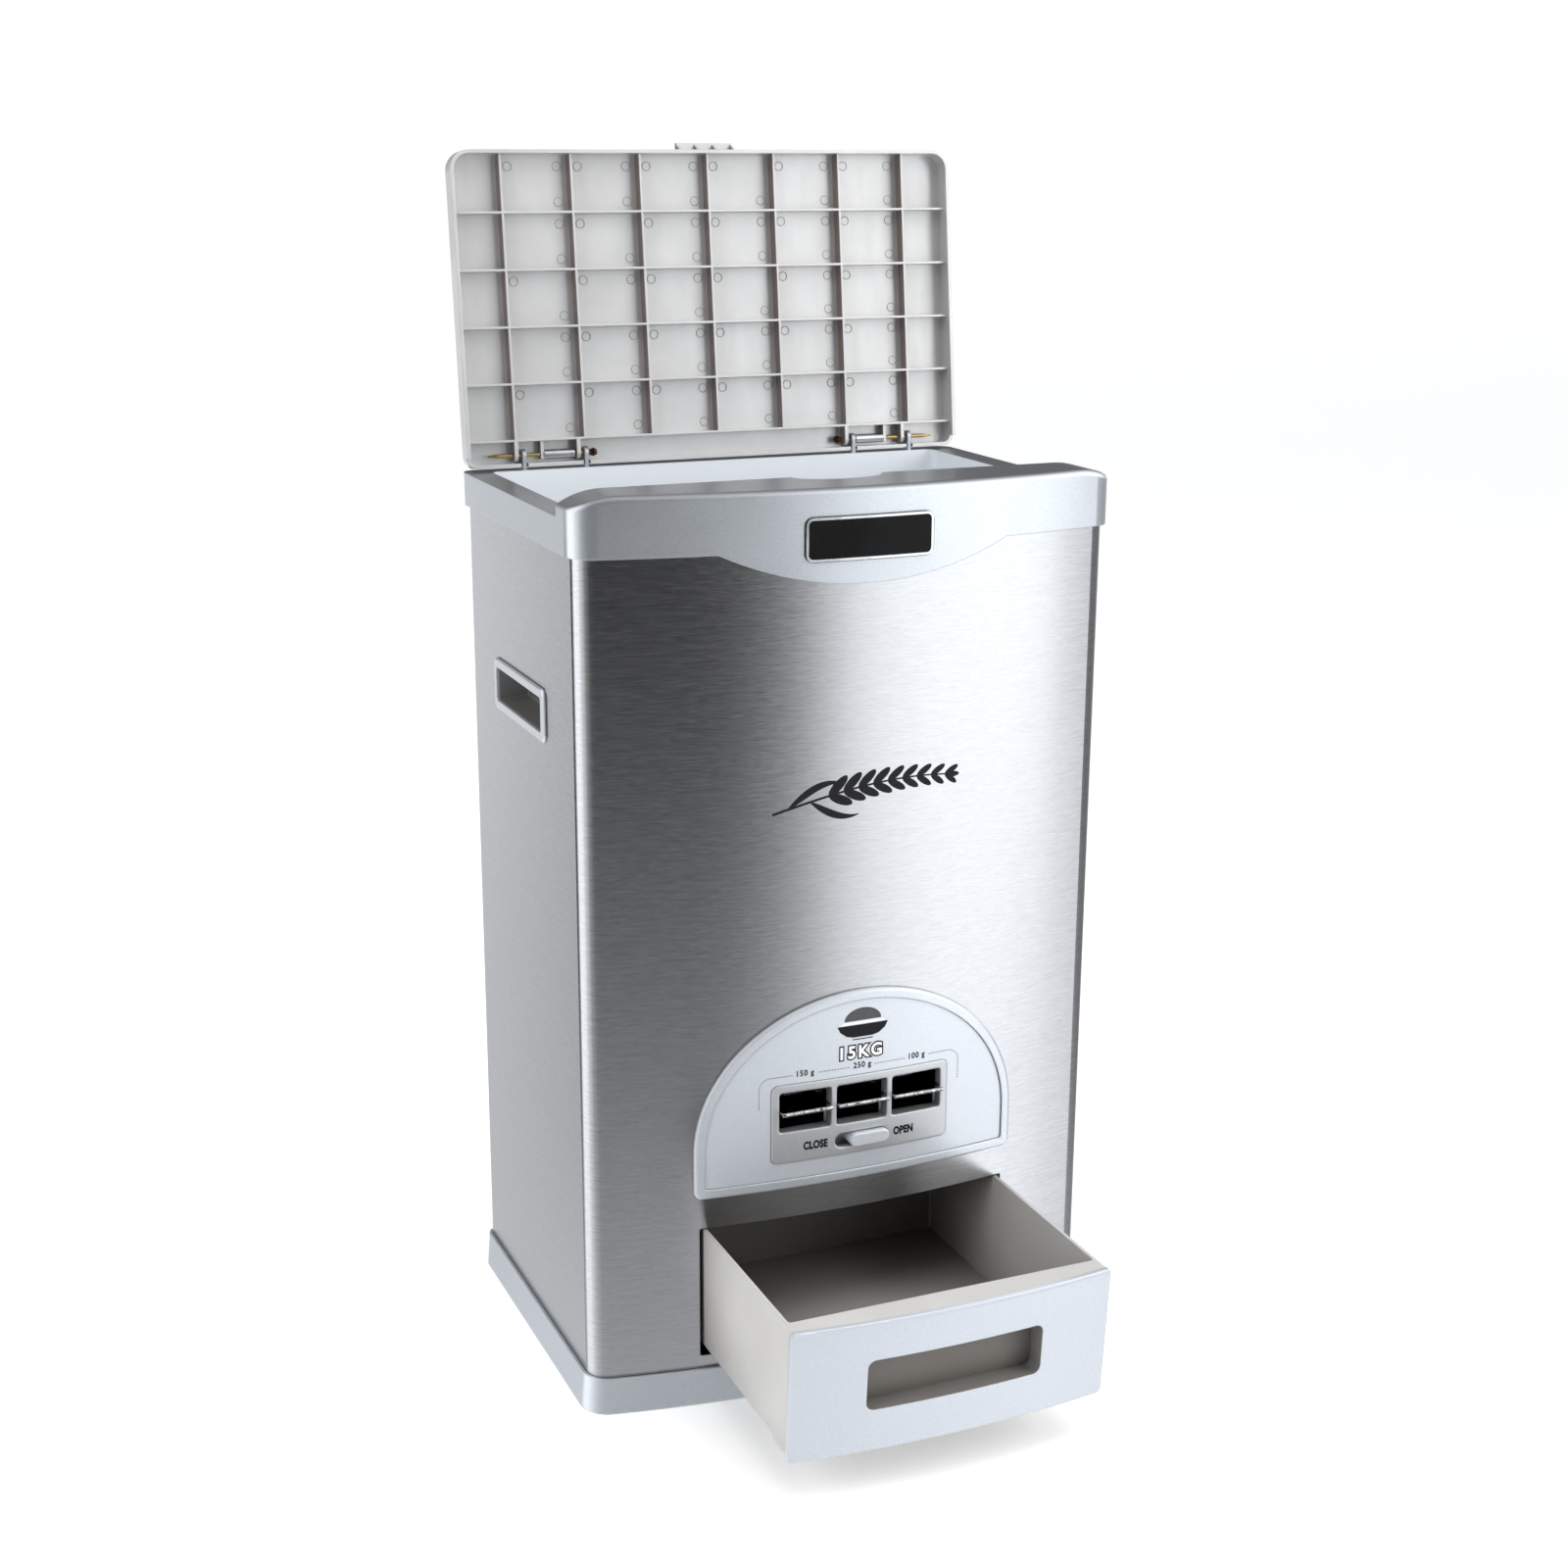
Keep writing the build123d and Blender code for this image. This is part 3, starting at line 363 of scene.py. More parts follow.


# top frame: painted shade on the flat tops and along the gaps; the hopper mouth's inner walls painted paler, as
# painted light, and less metallic
rimSet = dict(dark=(0.66, 0.695, 0.745), light=(0.79, 0.825, 0.87), flatTopShade=(0.34, 0.355, 0.38),
              mouth=(0.82, 0.86, 0.9), mouthX=(0.1532, 0.153), mouthFront=(-0.079, -0.077),
              mouthBack=(0.1002, 0.1), mouthTop=(0.5297, 0.5293), metal=0.85, mouthMetal=0.1,
              seamShade=0.4, rounding=0.0009)


def framePaint():
    s = rimSet
    finish, tree, shader = newFinish("frame_silver_paint", (0.7, 0.72, 0.76), s["metal"], 0.36)
    flake, tone = flakes(tree, s["dark"], s["light"])
    place = axesOf(tree)
    # painted shade: faces that point up are darker
    tone = mixed(tree, between(tree, axesOf(tree, "Normal")["Z"], 0, 1, 0.35, 0.92), tone, s["flatTopShade"])
    # painted light: the hopper mouth's inner walls are paler, as though no lid shaded them; they are also less
    # metallic
    mouth = allOf(tree, between(tree, calc(tree, "ABSOLUTE", place["X"]), 0, 1, *s["mouthX"]),
                  between(tree, place["Y"], 0, 1, *s["mouthFront"]),
                  between(tree, place["Y"], 0, 1, *s["mouthBack"]),
                  between(tree, place["Z"], 0, 1, *s["mouthTop"]))
    # painted shade along the gaps between pieces
    skin = seams(tree, mixed(tree, mouth, tone, s["mouth"]), paintSet["seam"], s["seamShade"])
    wire(tree, (skin, shader.inputs["Base Color"]),
         (between(tree, mouth, s["metal"], s["mouthMetal"], 0, 1), shader.inputs["Metallic"]))
    paintSurface(tree, shader, flake, 0.2, s["rounding"])
    return finish


# lid: warm grey on the ribbed face with painted shade on the ribs' flanks, silver where the closed lid faces
# up; sizes in mm
lidSet = dict(hingeY=101.0, hingeZ=538.5, angle=96.4, top=543.9, ribsHalf=155.0,
              warm=((0.70, 0.695, 0.69), (0.79, 0.785, 0.785)), flankShade=(0.33, 0.27, 0.25),
              silver=((0.60, 0.625, 0.66), (0.74, 0.765, 0.80)),
              under=542.7, columns=6, rows=5, pitchX=44.5, pitchY=34.0, middleY=7.0, share=0.9,
              cornerX=15.5, cornerY=10.5, ring=2.7, bead=0.26)


def lidPlastic():
    s = lidSet
    finish, tree, shader = newFinish("lid_moulding", (0.6, 0.59, 0.58), 0.62, 0.36)
    lean = radians(s["angle"])
    where = addNode(tree, "ShaderNodeTexCoord")
    outward = addNode(tree, "ShaderNodeVectorMath", operation="DOT_PRODUCT")  # height if the lid were closed
    outward.inputs[1].default_value = (0, sin(lean), cos(lean))
    tree.links.new(where.outputs["Object"], outward.inputs[0])
    skin = (s["hingeY"] * sin(lean) + s["hingeZ"] * cos(lean) + s["top"] - s["hingeZ"]) * mm
    outside = between(tree, outward.outputs["Value"], 0, 1, skin - 0.0001, skin + 0.0001)
    cloud = grainField(tree, (26, 26, 26), 4, 0.6)
    flow = grainField(tree, (160, 30, 30), 3, 0.6)
    warm = mixed(tree, between(tree, cloud, 0, 1), *s["warm"])
    flankShadeShare = allOf(tree, between(tree, calc(tree, "ABSOLUTE", axesOf(tree, "Normal")["X"]), 0, 1, 0.7, 0.9),
                   between(tree, calc(tree, "ABSOLUTE", axesOf(tree)["X"]), 1, 0,
                           s["ribsHalf"] * mm, (s["ribsHalf"] + 1) * mm))
    ribbed = mixed(tree, flankShadeShare, warm, s["flankShade"])  # painted shade: the ribs' flanks are darker and browner
    silver = flakes(tree, *s["silver"])[1]
    wire(tree, (mixed(tree, outside, ribbed, silver), shader.inputs["Base Color"]),
         (between(tree, flow, 0.28, 0.38), shader.inputs["Roughness"]))
    relief(tree, shader, flow, 0.00006, 0.35, 0.0006)
    return finish


# drawer tray: painted shade deep inside, where little light comes back; heights and depths in m
traySet = dict(reach=0.09, tone=(0.13, 0.117, 0.103), openFrom=0.2, openTo=0.82, floor=(0.06, 0.08),
               floorShade=0.42, wallAt=(-0.2, -0.15), wallShade=(0.9, 0.64))


def trayShade(tree, skin):
    # painted shade: walls that face the front are darker, the pocket's most of all, the floor a little, and all
    # of it more where little of the surroundings is open
    s = traySet
    facing, place = axesOf(tree, "Normal"), axesOf(tree)
    wall = allOf(tree, between(tree, facing["Y"], 1, 0, -0.9, -0.6),
                 between(tree, place["Y"], *s["wallShade"], *s["wallAt"]))
    floor = allOf(tree, between(tree, facing["Z"], 0, s["floorShade"], 0.8, 0.95),
                  between(tree, place["Z"], 1, 0, *s["floor"]))
    clear = allOf(tree, between(tree, openness(tree, s["reach"], 8), 0, 1, s["openFrom"], s["openTo"]),
                  calc(tree, "SUBTRACT", 1, wall), calc(tree, "SUBTRACT", 1, floor))
    return mixed(tree, clear, s["tone"], skin)


def mouldedPlastic(name, dark, light, rough, spread=20, streak=None, shade=None, gloss=0.5):
    finish, tree, shader = newFinish(name, light, 0.0, rough)
    shader.inputs["Specular IOR Level"].default_value = gloss
    cloud = grainField(tree, streak or (spread,) * 3, 4, 0.6)
    skin = mixed(tree, between(tree, cloud, 0, 1), dark, light)
    if shade:
        skin = shade(tree, skin)
    wire(tree, (skin, shader.inputs["Base Color"]),
         (between(tree, cloud, rough - 0.05, rough + 0.06), shader.inputs["Roughness"]))
    relief(tree, shader, grainField(tree, (900, 900, 900), 2), 0.00003, 0.5, 0.0005)
    return finish


def platedMetal(name, dark, light, rough, spread=90, waves=(700, 0.00001), shadeBehindY=None):
    finish, tree, shader = newFinish(name, light, 1.0, rough)
    smear = grainField(tree, (spread,) * 3, 4, 0.6)
    tone = mixed(tree, between(tree, smear, 0, 1), dark, light)
    if shadeBehindY:  # painted shade: plated bright in front of this y; behind it, inside the cabinet, the metal is painted near black
        inside = between(tree, axesOf(tree)["Y"], 0, 1, shadeBehindY, shadeBehindY + 0.002)
        tone = mixed(tree, inside, tone, (0.035, 0.037, 0.042))
    wire(tree, (tone, shader.inputs["Base Color"]),
         (between(tree, smear, rough * 0.6, rough * 1.5), shader.inputs["Roughness"]))
    relief(tree, shader, grainField(tree, (waves[0],) * 3, 2), waves[1], 0.4, 0.0003)
    return finish


# hinge pins: turned brass, with the ball heads at the inner ends much darker
pinSet = dict(brass=(0.60, 0.44, 0.20), head=(0.085, 0.05, 0.035), headTo=(0.0858, 0.0864))


def brassPin():
    finish, tree, shader = newFinish("turned_brass", (0.6, 0.45, 0.22), 1.0, 0.22)
    head = between(tree, calc(tree, "ABSOLUTE", axesOf(tree)["X"]), 1, 0, *pinSet["headTo"])
    turning = grainField(tree, (2200, 60, 60), 2)
    wire(tree, (mixed(tree, head, pinSet["brass"], pinSet["head"]), shader.inputs["Base Color"]),
         (between(tree, turning, 0.16, 0.32), shader.inputs["Roughness"]))
    relief(tree, shader, turning, 0.00003, 0.4)
    return finish


def printInk(name, dark, light, rough=0.4):
    finish, tree, shader = newFinish(name, light, 0.0, rough)
    shader.inputs["Specular IOR Level"].default_value = 0.12
    screen = grainField(tree, (1300, 1300, 1300), 2, 0.6)
    wire(tree, (mixed(tree, between(tree, screen, 0, 1), dark, light), shader.inputs["Base Color"]),
         (between(tree, screen, rough - 0.06, rough + 0.08), shader.inputs["Roughness"]))
    return finish


# one finish for each of the frame's materials, then the pieces that differ from their material's
looks = dict(
    brushed_steel=brushedSteel(),
    silver_plastic=silverPaint("silver_paint"),
    lid_plastic=lidPlastic(),
    coated_sheet=mouldedPlastic("coated_sheet_look", (0.585, 0.595, 0.61), (0.61, 0.62, 0.635), 0.42, 45),
    tray_plastic=mouldedPlastic("warm_tray_plastic", (0.53, 0.515, 0.50), (0.59, 0.575, 0.56), 0.42, 16,
                                shade=trayShade),
    inner_plastic=mouldedPlastic("pale_inner_plastic", (0.70, 0.72, 0.745), (0.80, 0.815, 0.83), 0.4,
                                 streak=(90, 90, 5)),
    black_plastic=mouldedPlastic("black_plastic_look", (0.005, 0.005, 0.005), (0.009, 0.009, 0.01), 0.3, 40,
                                 gloss=0.09),
    chrome_plating=platedMetal("chrome_look", (0.60, 0.59, 0.58), (0.80, 0.80, 0.805), 0.08),
    bright_rod=platedMetal("bright_rod_look", (0.6, 0.6, 0.61), (0.78, 0.78, 0.79), 0.2, 300),
    pin_brass=brassPin(),
    pad_rubber=mouldedPlastic("pad_rubber_look", (0.03, 0.03, 0.032), (0.05, 0.05, 0.052), 0.75, 200))
for node in nodes.values():
    for holder in node.material_slots:
        holder.material = looks[holder.material.name.split(".")[0]]
for finish, names in (
        (silverPaint("satin_silver_paint"), ("panel_face", "lock_knob")),
        (silverPaint("drawer_silver_paint", drawerPocketShade), ("drawer_front",)),
        (silverPaint("grip_silver_paint", gripPocketShade), ("left_handle", "right_handle")),
        (silverPaint("moulded_silver_paint"), ("base", "panel_bezel")),
        (silverPaint("plate_silver_paint"), ("lever_plate",)),
        (framePaint(), ("top_frame",)),
        # the blades are painted near black behind the front of the lever plate: painted shade inside the
        # windows
        (platedMetal("blade_chrome", (0.42, 0.41, 0.40), (0.82, 0.82, 0.83), 0.06, 160, (170, 0.002), -0.1262),
         ("lever_150g", "lever_250g", "lever_100g")),
        # painted shade: the gates and the metering box seen through the windows take the black plastic, for the
        # dark inside of the cabinet
        (looks["black_plastic"], ("gate_150g", "gate_250g", "gate_100g", "metering_box"))):
    for name in names:
        nodes[name].material_slots[0].material = finish
blackInk = printInk("black_ink", (0.008, 0.008, 0.009), (0.02, 0.02, 0.022))
greyInk = printInk("grey_ink", (0.075, 0.075, 0.08), (0.10, 0.10, 0.105))
whiteInk = printInk("white_ink", (0.80, 0.805, 0.81), (0.88, 0.885, 0.89))
edgeFoil = platedMetal("edge_foil", (0.74, 0.75, 0.77), (0.84, 0.85, 0.87), 0.22)
# the ejector marks are raised rings in a darker tone: real rings, with painted shade for their shaded edges
markShadeTone = mouldedPlastic("ejector_mark_shade", (0.36, 0.345, 0.33), (0.50, 0.485, 0.47), 0.34, 120)
print("finishes on", len(nodes), "nodes")

# the bowed front, in mm, and how proud of the steel each printed face stands;
# edges of a print that are longer than straight across get that many cuts, to follow the bow
frontSet = dict(face=124.5, bow=720.0, panel=2.2, plate=2.8, badge=4.2, lift=0.09, thick=0.05,
                weld=0.002, straight=9, cuts=3)


def bowY(x, proud):
    # the bowed front's y at x, in mm, for a surface that stands proud of the steel
    radius = frontSet["bow"] + proud
    return frontSet["bow"] - frontSet["face"] - sqrt(radius * radius - x * x)


def shown(name, data):
    obj = bpy.data.objects.new(name, data)
    bpy.context.scene.collection.objects.link(obj)
    return obj


def plainMesh(obj, name):
    # the evaluated object as a plain mesh object of its own; the source is deleted
    bpy.context.view_layer.update()
    graph = bpy.context.evaluated_depsgraph_get()
    mesh = bpy.data.meshes.new_from_object(obj.evaluated_get(graph), preserve_all_data_layers=True,
                                           depsgraph=graph)
    mesh.name = name
    made = shown(name, mesh)
    bpy.data.objects.remove(obj)
    return made


def meshOf(name, points, faces):
    mesh = bpy.data.meshes.new(name)
    mesh.from_pydata([tuple(p) for p in points], [], faces)
    mesh.update()
    return shown(name, mesh)


def layOnFront(obj, proud):
    # takes a flat print from x and y in mm to the bowed front, with a little thickness
    bm = bmesh.new()
    bm.from_mesh(obj.data)
    bmesh.ops.remove_doubles(bm, verts=bm.verts, dist=frontSet["weld"])
    long = [e for e in bm.edges if abs(e.verts[0].co.x - e.verts[1].co.x) > frontSet["straight"]]
    if long:
        bmesh.ops.subdivide_edges(bm, edges=long, cuts=frontSet["cuts"])
    bmesh.ops.triangulate(bm, faces=bm.faces)
    for f in bm.faces:
        if f.normal.z < 0:
            f.normal_flip()
    back = bmesh.ops.duplicate(bm, geom=bm.verts[:] + bm.edges[:] + bm.faces[:])
    pairs = dict(back["vert_map"].items())
    backFaces = [g for g in back["geom"] if isinstance(g, bmesh.types.BMFace)]
    backVerts = {g for g in back["geom"] if isinstance(g, bmesh.types.BMVert)}
    rim = [e for e in bm.edges if len(e.link_faces) == 1 and e.verts[0] not in backVerts]
    for e in rim:
        loop = [corner for corner in e.link_faces[0].loops if corner.edge == e][0]
        first, second = loop.vert, loop.link_loop_next.vert
        bm.faces.new((second, first, pairs[first], pairs[second]))
    for f in backFaces:
        f.normal_flip()
    for v in bm.verts:
        deep = frontSet["thick"] if v in backVerts else 0.0
        x, z = v.co.x, v.co.y
        v.co = Vector((x, bowY(x, proud) - frontSet["lift"] + deep, z)) * mm
    bm.to_mesh(obj.data)
    bm.free()
    return obj


def finishPiece(obj, body, material, smooth=False):
    obj.data.materials.clear()
    obj.data.materials.append(material)
    for polygon in obj.data.polygons:
        polygon.use_smooth = smooth
    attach(obj, body)


def printOn(obj, proud, ink):
    finishPiece(layOnFront(obj, proud), "cabinet", ink)


def letters(name, words, middle, size, weight, spacing, wide):
    # flat lettering with its middle at x, z in mm; weight thickens the strokes
    data = bpy.data.curves.new(name, "FONT")
    data.body = words
    data.size = size
    data.offset = weight
    data.space_character = spacing
    data.align_x = "CENTER"
    data.resolution_u = 5
    flat = plainMesh(shown(name, data), name)
    xs = [v.co.x for v in flat.data.vertices]
    ys = [v.co.y for v in flat.data.vertices]
    midX, midY = (min(xs) + max(xs)) / 2, (min(ys) + max(ys)) / 2
    flat.data.transform(Matrix.Translation((*middle, 0)) @ Matrix.Diagonal((wide, 1, 1, 1))
                        @ Matrix.Translation((-midX, -midY, 0)))
    return flat


def joined(name, parts):
    # several flat prints of one ink as one mesh
    bm = bmesh.new()
    for part in parts:
        bm.from_mesh(part.data)
        bpy.data.objects.remove(part)
    mesh = bpy.data.meshes.new(name)
    bm.to_mesh(mesh)
    bm.free()
    return shown(name, mesh)


def flatShape(name, outline, hole=None):
    # a flat print from an outline in mm, with one hole at most
    rings = [[Vector((x, y, 0)) for x, y in ring] for ring in (outline, hole) if ring]
    points = [p for ring in rings for p in ring]
    return meshOf(name, points, [tuple(t) for t in tessellate_polygon(rings)])


def ribbon(name, middle, widths):
    # a flat strip along points, as wide as told at each
    points = []
    for i, (x, y) in enumerate(middle):
        ax, ay = middle[max(i - 1, 0)]
        bx, by = middle[min(i + 1, len(middle) - 1)]
        dx, dy = bx - ax, by - ay
        reach = sqrt(dx * dx + dy * dy) or 1
        for s in (0.5, -0.5):
            points.append((x - dy / reach * widths[i] * s, y + dx / reach * widths[i] * s, 0))
    faces = [(2 * i, 2 * i + 1, 2 * i + 3, 2 * i + 2) for i in range(len(middle) - 1)]
    return meshOf(name, points, faces)


def arc(x, z, radiusX, radiusZ, start, stop, step):
    # points round an ellipse, from start up to stop in degrees
    return [(x + radiusX * cos(radians(a)), z + radiusZ * sin(radians(a))) for a in range(start, stop, step)]


def roundedBox(halfX, low, high, radius):
    corners = ((halfX - radius, high - radius, 0), (radius - halfX, high - radius, 90),
               (radius - halfX, low + radius, 180), (halfX - radius, low + radius, 270))
    return [point for x, z, start in corners for point in arc(x, z, radius, radius, start, start + 91, 15)]


def newTree(name, sizes):
    # a geometry tree with named number inputs, and the geometry that it starts from
    tree = bpy.data.node_groups.new(name, "GeometryNodeTree")
    tree.is_modifier = True
    tree.interface.new_socket("Geometry", in_out="INPUT", socket_type="NodeSocketGeometry")
    for label, value in sizes.items():
        kind = "NodeSocketInt" if isinstance(value, int) else "NodeSocketFloat"
        tree.interface.new_socket(label, in_out="INPUT", socket_type=kind).default_value = value
    tree.interface.new_socket("Material", in_out="INPUT", socket_type="NodeSocketMaterial")
    tree.interface.new_socket("Geometry", in_out="OUTPUT", socket_type="NodeSocketGeometry")
    return tree, tree.nodes.new("NodeGroupInput").outputs, tree.nodes.new("NodeGroupOutput")


def closeTree(tree, given, end, geometry):
    real = addNode(tree, "GeometryNodeRealizeInstances")
    paint = addNode(tree, "GeometryNodeSetMaterial")
    wire(tree, (geometry, real.inputs[0]), (real.outputs[0], paint.inputs["Geometry"]),
         (given["Material"], paint.inputs["Material"]), (paint.outputs[0], end.inputs["Geometry"]))
    return tree


def grow(name, buildTree, sizes, seedObject, material):
    # runs a tree on an object and keeps the result as a plain mesh
    modifier = seedObject.modifiers.new("grow", "NODES")
    modifier.node_group = buildTree(sizes)
    wanted = dict(sizes, Material=material)
    for item in modifier.node_group.interface.items_tree:
        if item.in_out == "INPUT" and item.name in wanted:
            modifier[item.identifier] = wanted[item.name]
    return plainMesh(seedObject, name)


def pathObject(name, strokes):
    # polylines in mm, as one curve object
    data = bpy.data.curves.new(name, "CURVE")
    data.dimensions = "3D"
    for stroke in strokes:
        line = data.splines.new("POLY")
        line.points.add(len(stroke) - 1)
        for point, (x, y) in zip(line.points, stroke):
            point.co = (x, y, 0, 1)
    return shown(name, data)


# lid: ejector pin marks
def ejectorTree(sizes):
    # rings near three corners of every cell between the ribs, a few of them left out
    tree, given, end = newTree("ejector_marks", sizes)

    def span(count, pitch):
        return calc(tree, "MULTIPLY", calc(tree, "SUBTRACT", given[count], 1), given[pitch])

    grid = addNode(tree, "GeometryNodeMeshGrid")
    circle = addNode(tree, "GeometryNodeCurvePrimitiveCircle")
    circle.inputs["Resolution"].default_value = 14
    bead = addNode(tree, "GeometryNodeCurvePrimitiveCircle")
    bead.inputs["Resolution"].default_value = 5
    tube = addNode(tree, "GeometryNodeCurveToMesh")
    wire(tree, (span("Columns", "Pitch X"), grid.inputs["Size X"]),
         (span("Rows", "Pitch Y"), grid.inputs["Size Y"]),
         (given["Columns"], grid.inputs["Vertices X"]), (given["Rows"], grid.inputs["Vertices Y"]),
         (given["Ring"], circle.inputs["Radius"]), (given["Bead"], bead.inputs["Radius"]),
         (circle.outputs["Curve"], tube.inputs["Curve"]), (bead.outputs["Curve"], tube.inputs["Profile Curve"]))
    join = addNode(tree, "GeometryNodeJoinGeometry")
    for draw, (signX, signY) in enumerate(((-1, -1), (1, -1), (1, 1))):
        move = addNode(tree, "GeometryNodeTransform")
        offset = addNode(tree, "ShaderNodeCombineXYZ")
        chance = addNode(tree, "FunctionNodeRandomValue", data_type="BOOLEAN")
        chance.inputs["Seed"].default_value = 7 + draw
        place = addNode(tree, "GeometryNodeInstanceOnPoints")
        wire(tree, (calc(tree, "MULTIPLY", given["Corner X"], signX), offset.inputs[0]),
             (calc(tree, "MULTIPLY", given["Corner Y"], signY), offset.inputs[1]),
             (offset.outputs[0], move.inputs["Translation"]), (grid.outputs["Mesh"], move.inputs["Geometry"]),
             (given["Share"], chance.inputs["Probability"]), (chance.outputs[3], place.inputs["Selection"]),
             (move.outputs[0], place.inputs["Points"]), (tube.outputs[0], place.inputs["Instance"]),
             (place.outputs[0], join.inputs[0]))
    return closeTree(tree, given, end, join.outputs[0])


def ejectorMarks():
    s = lidSet
    sizes = {"Columns": s["columns"], "Rows": s["rows"], "Pitch X": s["pitchX"], "Pitch Y": s["pitchY"],
             "Share": s["share"], "Corner X": s["cornerX"], "Corner Y": s["cornerY"],
             "Ring": s["ring"], "Bead": s["bead"]}
    marks = grow("lid_ejector_marks", ejectorTree, sizes, meshOf("lid_marks_seed", [(0, 0, 0)], []), markShadeTone)
    hinge = Vector((0, s["hingeY"], s["hingeZ"]))
    openLid = (Matrix.Translation(hinge) @ Matrix.Rotation(radians(-s["angle"]), 4, "X")
               @ Matrix.Translation(-hinge))
    marks.data.transform(Matrix.Scale(mm, 4) @ openLid @ Matrix.Translation((0, s["middleY"], s["under"])))
    finishPiece(marks, "lid", markShadeTone, smooth=True)


ejectorMarks()
print("lid marks moulded")

# panel: printed lines, numbers and words; lettering has size, weight, spacing and width
panelSet = dict(dotPitch=1.6, dotRadius=0.36, sideX=64.5, top=203.0, foot=184.5, corner=7.0, bendTo=44.5,
                dashFrom=8.8, dashTo=27.5, numbers=(("150 g", -36.0), ("250 g", 0.0), ("100 g", 36.0)),
                numberZ=203.2, numberType=(5.0, 0.12, 1.15, 0.92),
                capacity="15KG", capacityMiddle=(-0.8, 212.2), outlineType=(10.6, 1.2, 1.28, 0.97),
                fillType=(10.6, 0.34, 1.28, 0.97), fillLift=0.03,
                states=(("CLOSE", -29.6), ("OPEN", 27.4)), stateZ=157.9, stateType=(6.6, 0.34, 1.06, 0.74))


def dotTree(sizes):
    # dots of one size, evenly along each line
    tree, given, end = newTree("dotted_print", sizes)
    even = addNode(tree, "GeometryNodeCurveToPoints", mode="LENGTH")
    dot = addNode(tree, "GeometryNodeMeshCircle", fill_type="TRIANGLE_FAN")
    dot.inputs["Vertices"].default_value = 8
    place = addNode(tree, "GeometryNodeInstanceOnPoints")
    wire(tree, (given["Geometry"], even.inputs["Curve"]), (given["Pitch"], even.inputs["Length"]),
         (given["Dot"], dot.inputs["Radius"]), (even.outputs["Points"], place.inputs["Points"]),
         (dot.outputs["Mesh"], place.inputs["Instance"]))
    return closeTree(tree, given, end, place.outputs[0])


def dotStrokes():
    # a bend at each end and two dashes, with room for the three numbers between them
    s = panelSet
    bend = arc(s["sideX"] - s["corner"], s["top"] - s["corner"], s["corner"], s["corner"], 0, 91, 15)
    right = [(s["sideX"], s["foot"])] + bend + [(s["bendTo"], s["top"])]
    return [right, [(-x, z) for x, z in right], [(-s["dashTo"], s["top"]), (-s["dashFrom"], s["top"])],
            [(s["dashFrom"], s["top"]), (s["dashTo"], s["top"])]]


def panelPrint():
    s = panelSet
    dots = grow("panel_dotted_line", dotTree, {"Pitch": s["dotPitch"], "Dot": s["dotRadius"]},
                pathObject("dot_paths", dotStrokes()), blackInk)
    printOn(dots, frontSet["panel"], blackInk)
    amounts = joined("panel_portion_numbers", [letters("number", words, (x, s["numberZ"]), *s["numberType"])
                                               for words, x in s["numbers"]])
    printOn(amounts, frontSet["panel"], blackInk)
    outline = letters("panel_capacity_outline", s["capacity"], s["capacityMiddle"], *s["outlineType"])
    printOn(outline, frontSet["panel"], blackInk)
    fill = letters("panel_capacity_fill", s["capacity"], s["capacityMiddle"], *s["fillType"])
    printOn(fill, frontSet["panel"] + s["fillLift"], whiteInk)
    states = joined("lock_state_words", [letters("word", words, (x, s["stateZ"]), *s["stateType"])
                                         for words, x in s["states"]])
    printOn(states, frontSet["plate"], blackInk)


# sign: a heaped bowl with a dome, a rim line and a foot line; bowl and foot are given by their right halves
signSet = dict(domeZ=231.6, domeX=11.8, domeRise=7.8,
               bowl=((16.2, 229.0), (14.4, 225.4), (10.4, 222.4), (6.4, 221.4)),
               foot=((6.6, 220.3), (6.6, 219.7)),
               rim=((-15.8, 229.5), (15.8, 229.5), (12.6, 231.0), (-12.6, 231.0)))


def bothSides(half):
    # the outline of a shape from its right half, listed from the top down
    return [(-x, z) for x, z in half] + list(reversed(half))


def bowlSign():
    s = signSet
    dome = flatShape("sign_dome", arc(0, s["domeZ"], s["domeX"], s["domeRise"], 0, 181, 10))
    bowl = joined("sign_bowl", [flatShape(part, bothSides(s[part])) for part in ("bowl", "foot")])
    rim = flatShape("sign_rim", s["rim"])
    printOn(dome, frontSet["panel"], greyInk)
    printOn(bowl, frontSet["panel"], blackInk)
    printOn(rim, frontSet["panel"], whiteInk)


panelPrint()
bowlSign()
print("panel printed")

# front: ear of grain, on an arched line in mm; each leaf has its reach, its rise and the stem point it leaves
earSet = dict(startX=-56.0, endX=52.0, low=361.0, arch=14.0, bend=0.62, bare=34, steps=24,
              pairs=9, long=15.5, wide=5.6, spread=33.0, taper=0.38, stemWidth=(1.5, 0.8),
              leaves=((34, 13.5, 2), (30, -10.5, 5)), leafSteps=16, leafWidth=(0.3, 3.9),
              tipShift=(4.6, -0.6), tipSize=(4.8, 1.7))


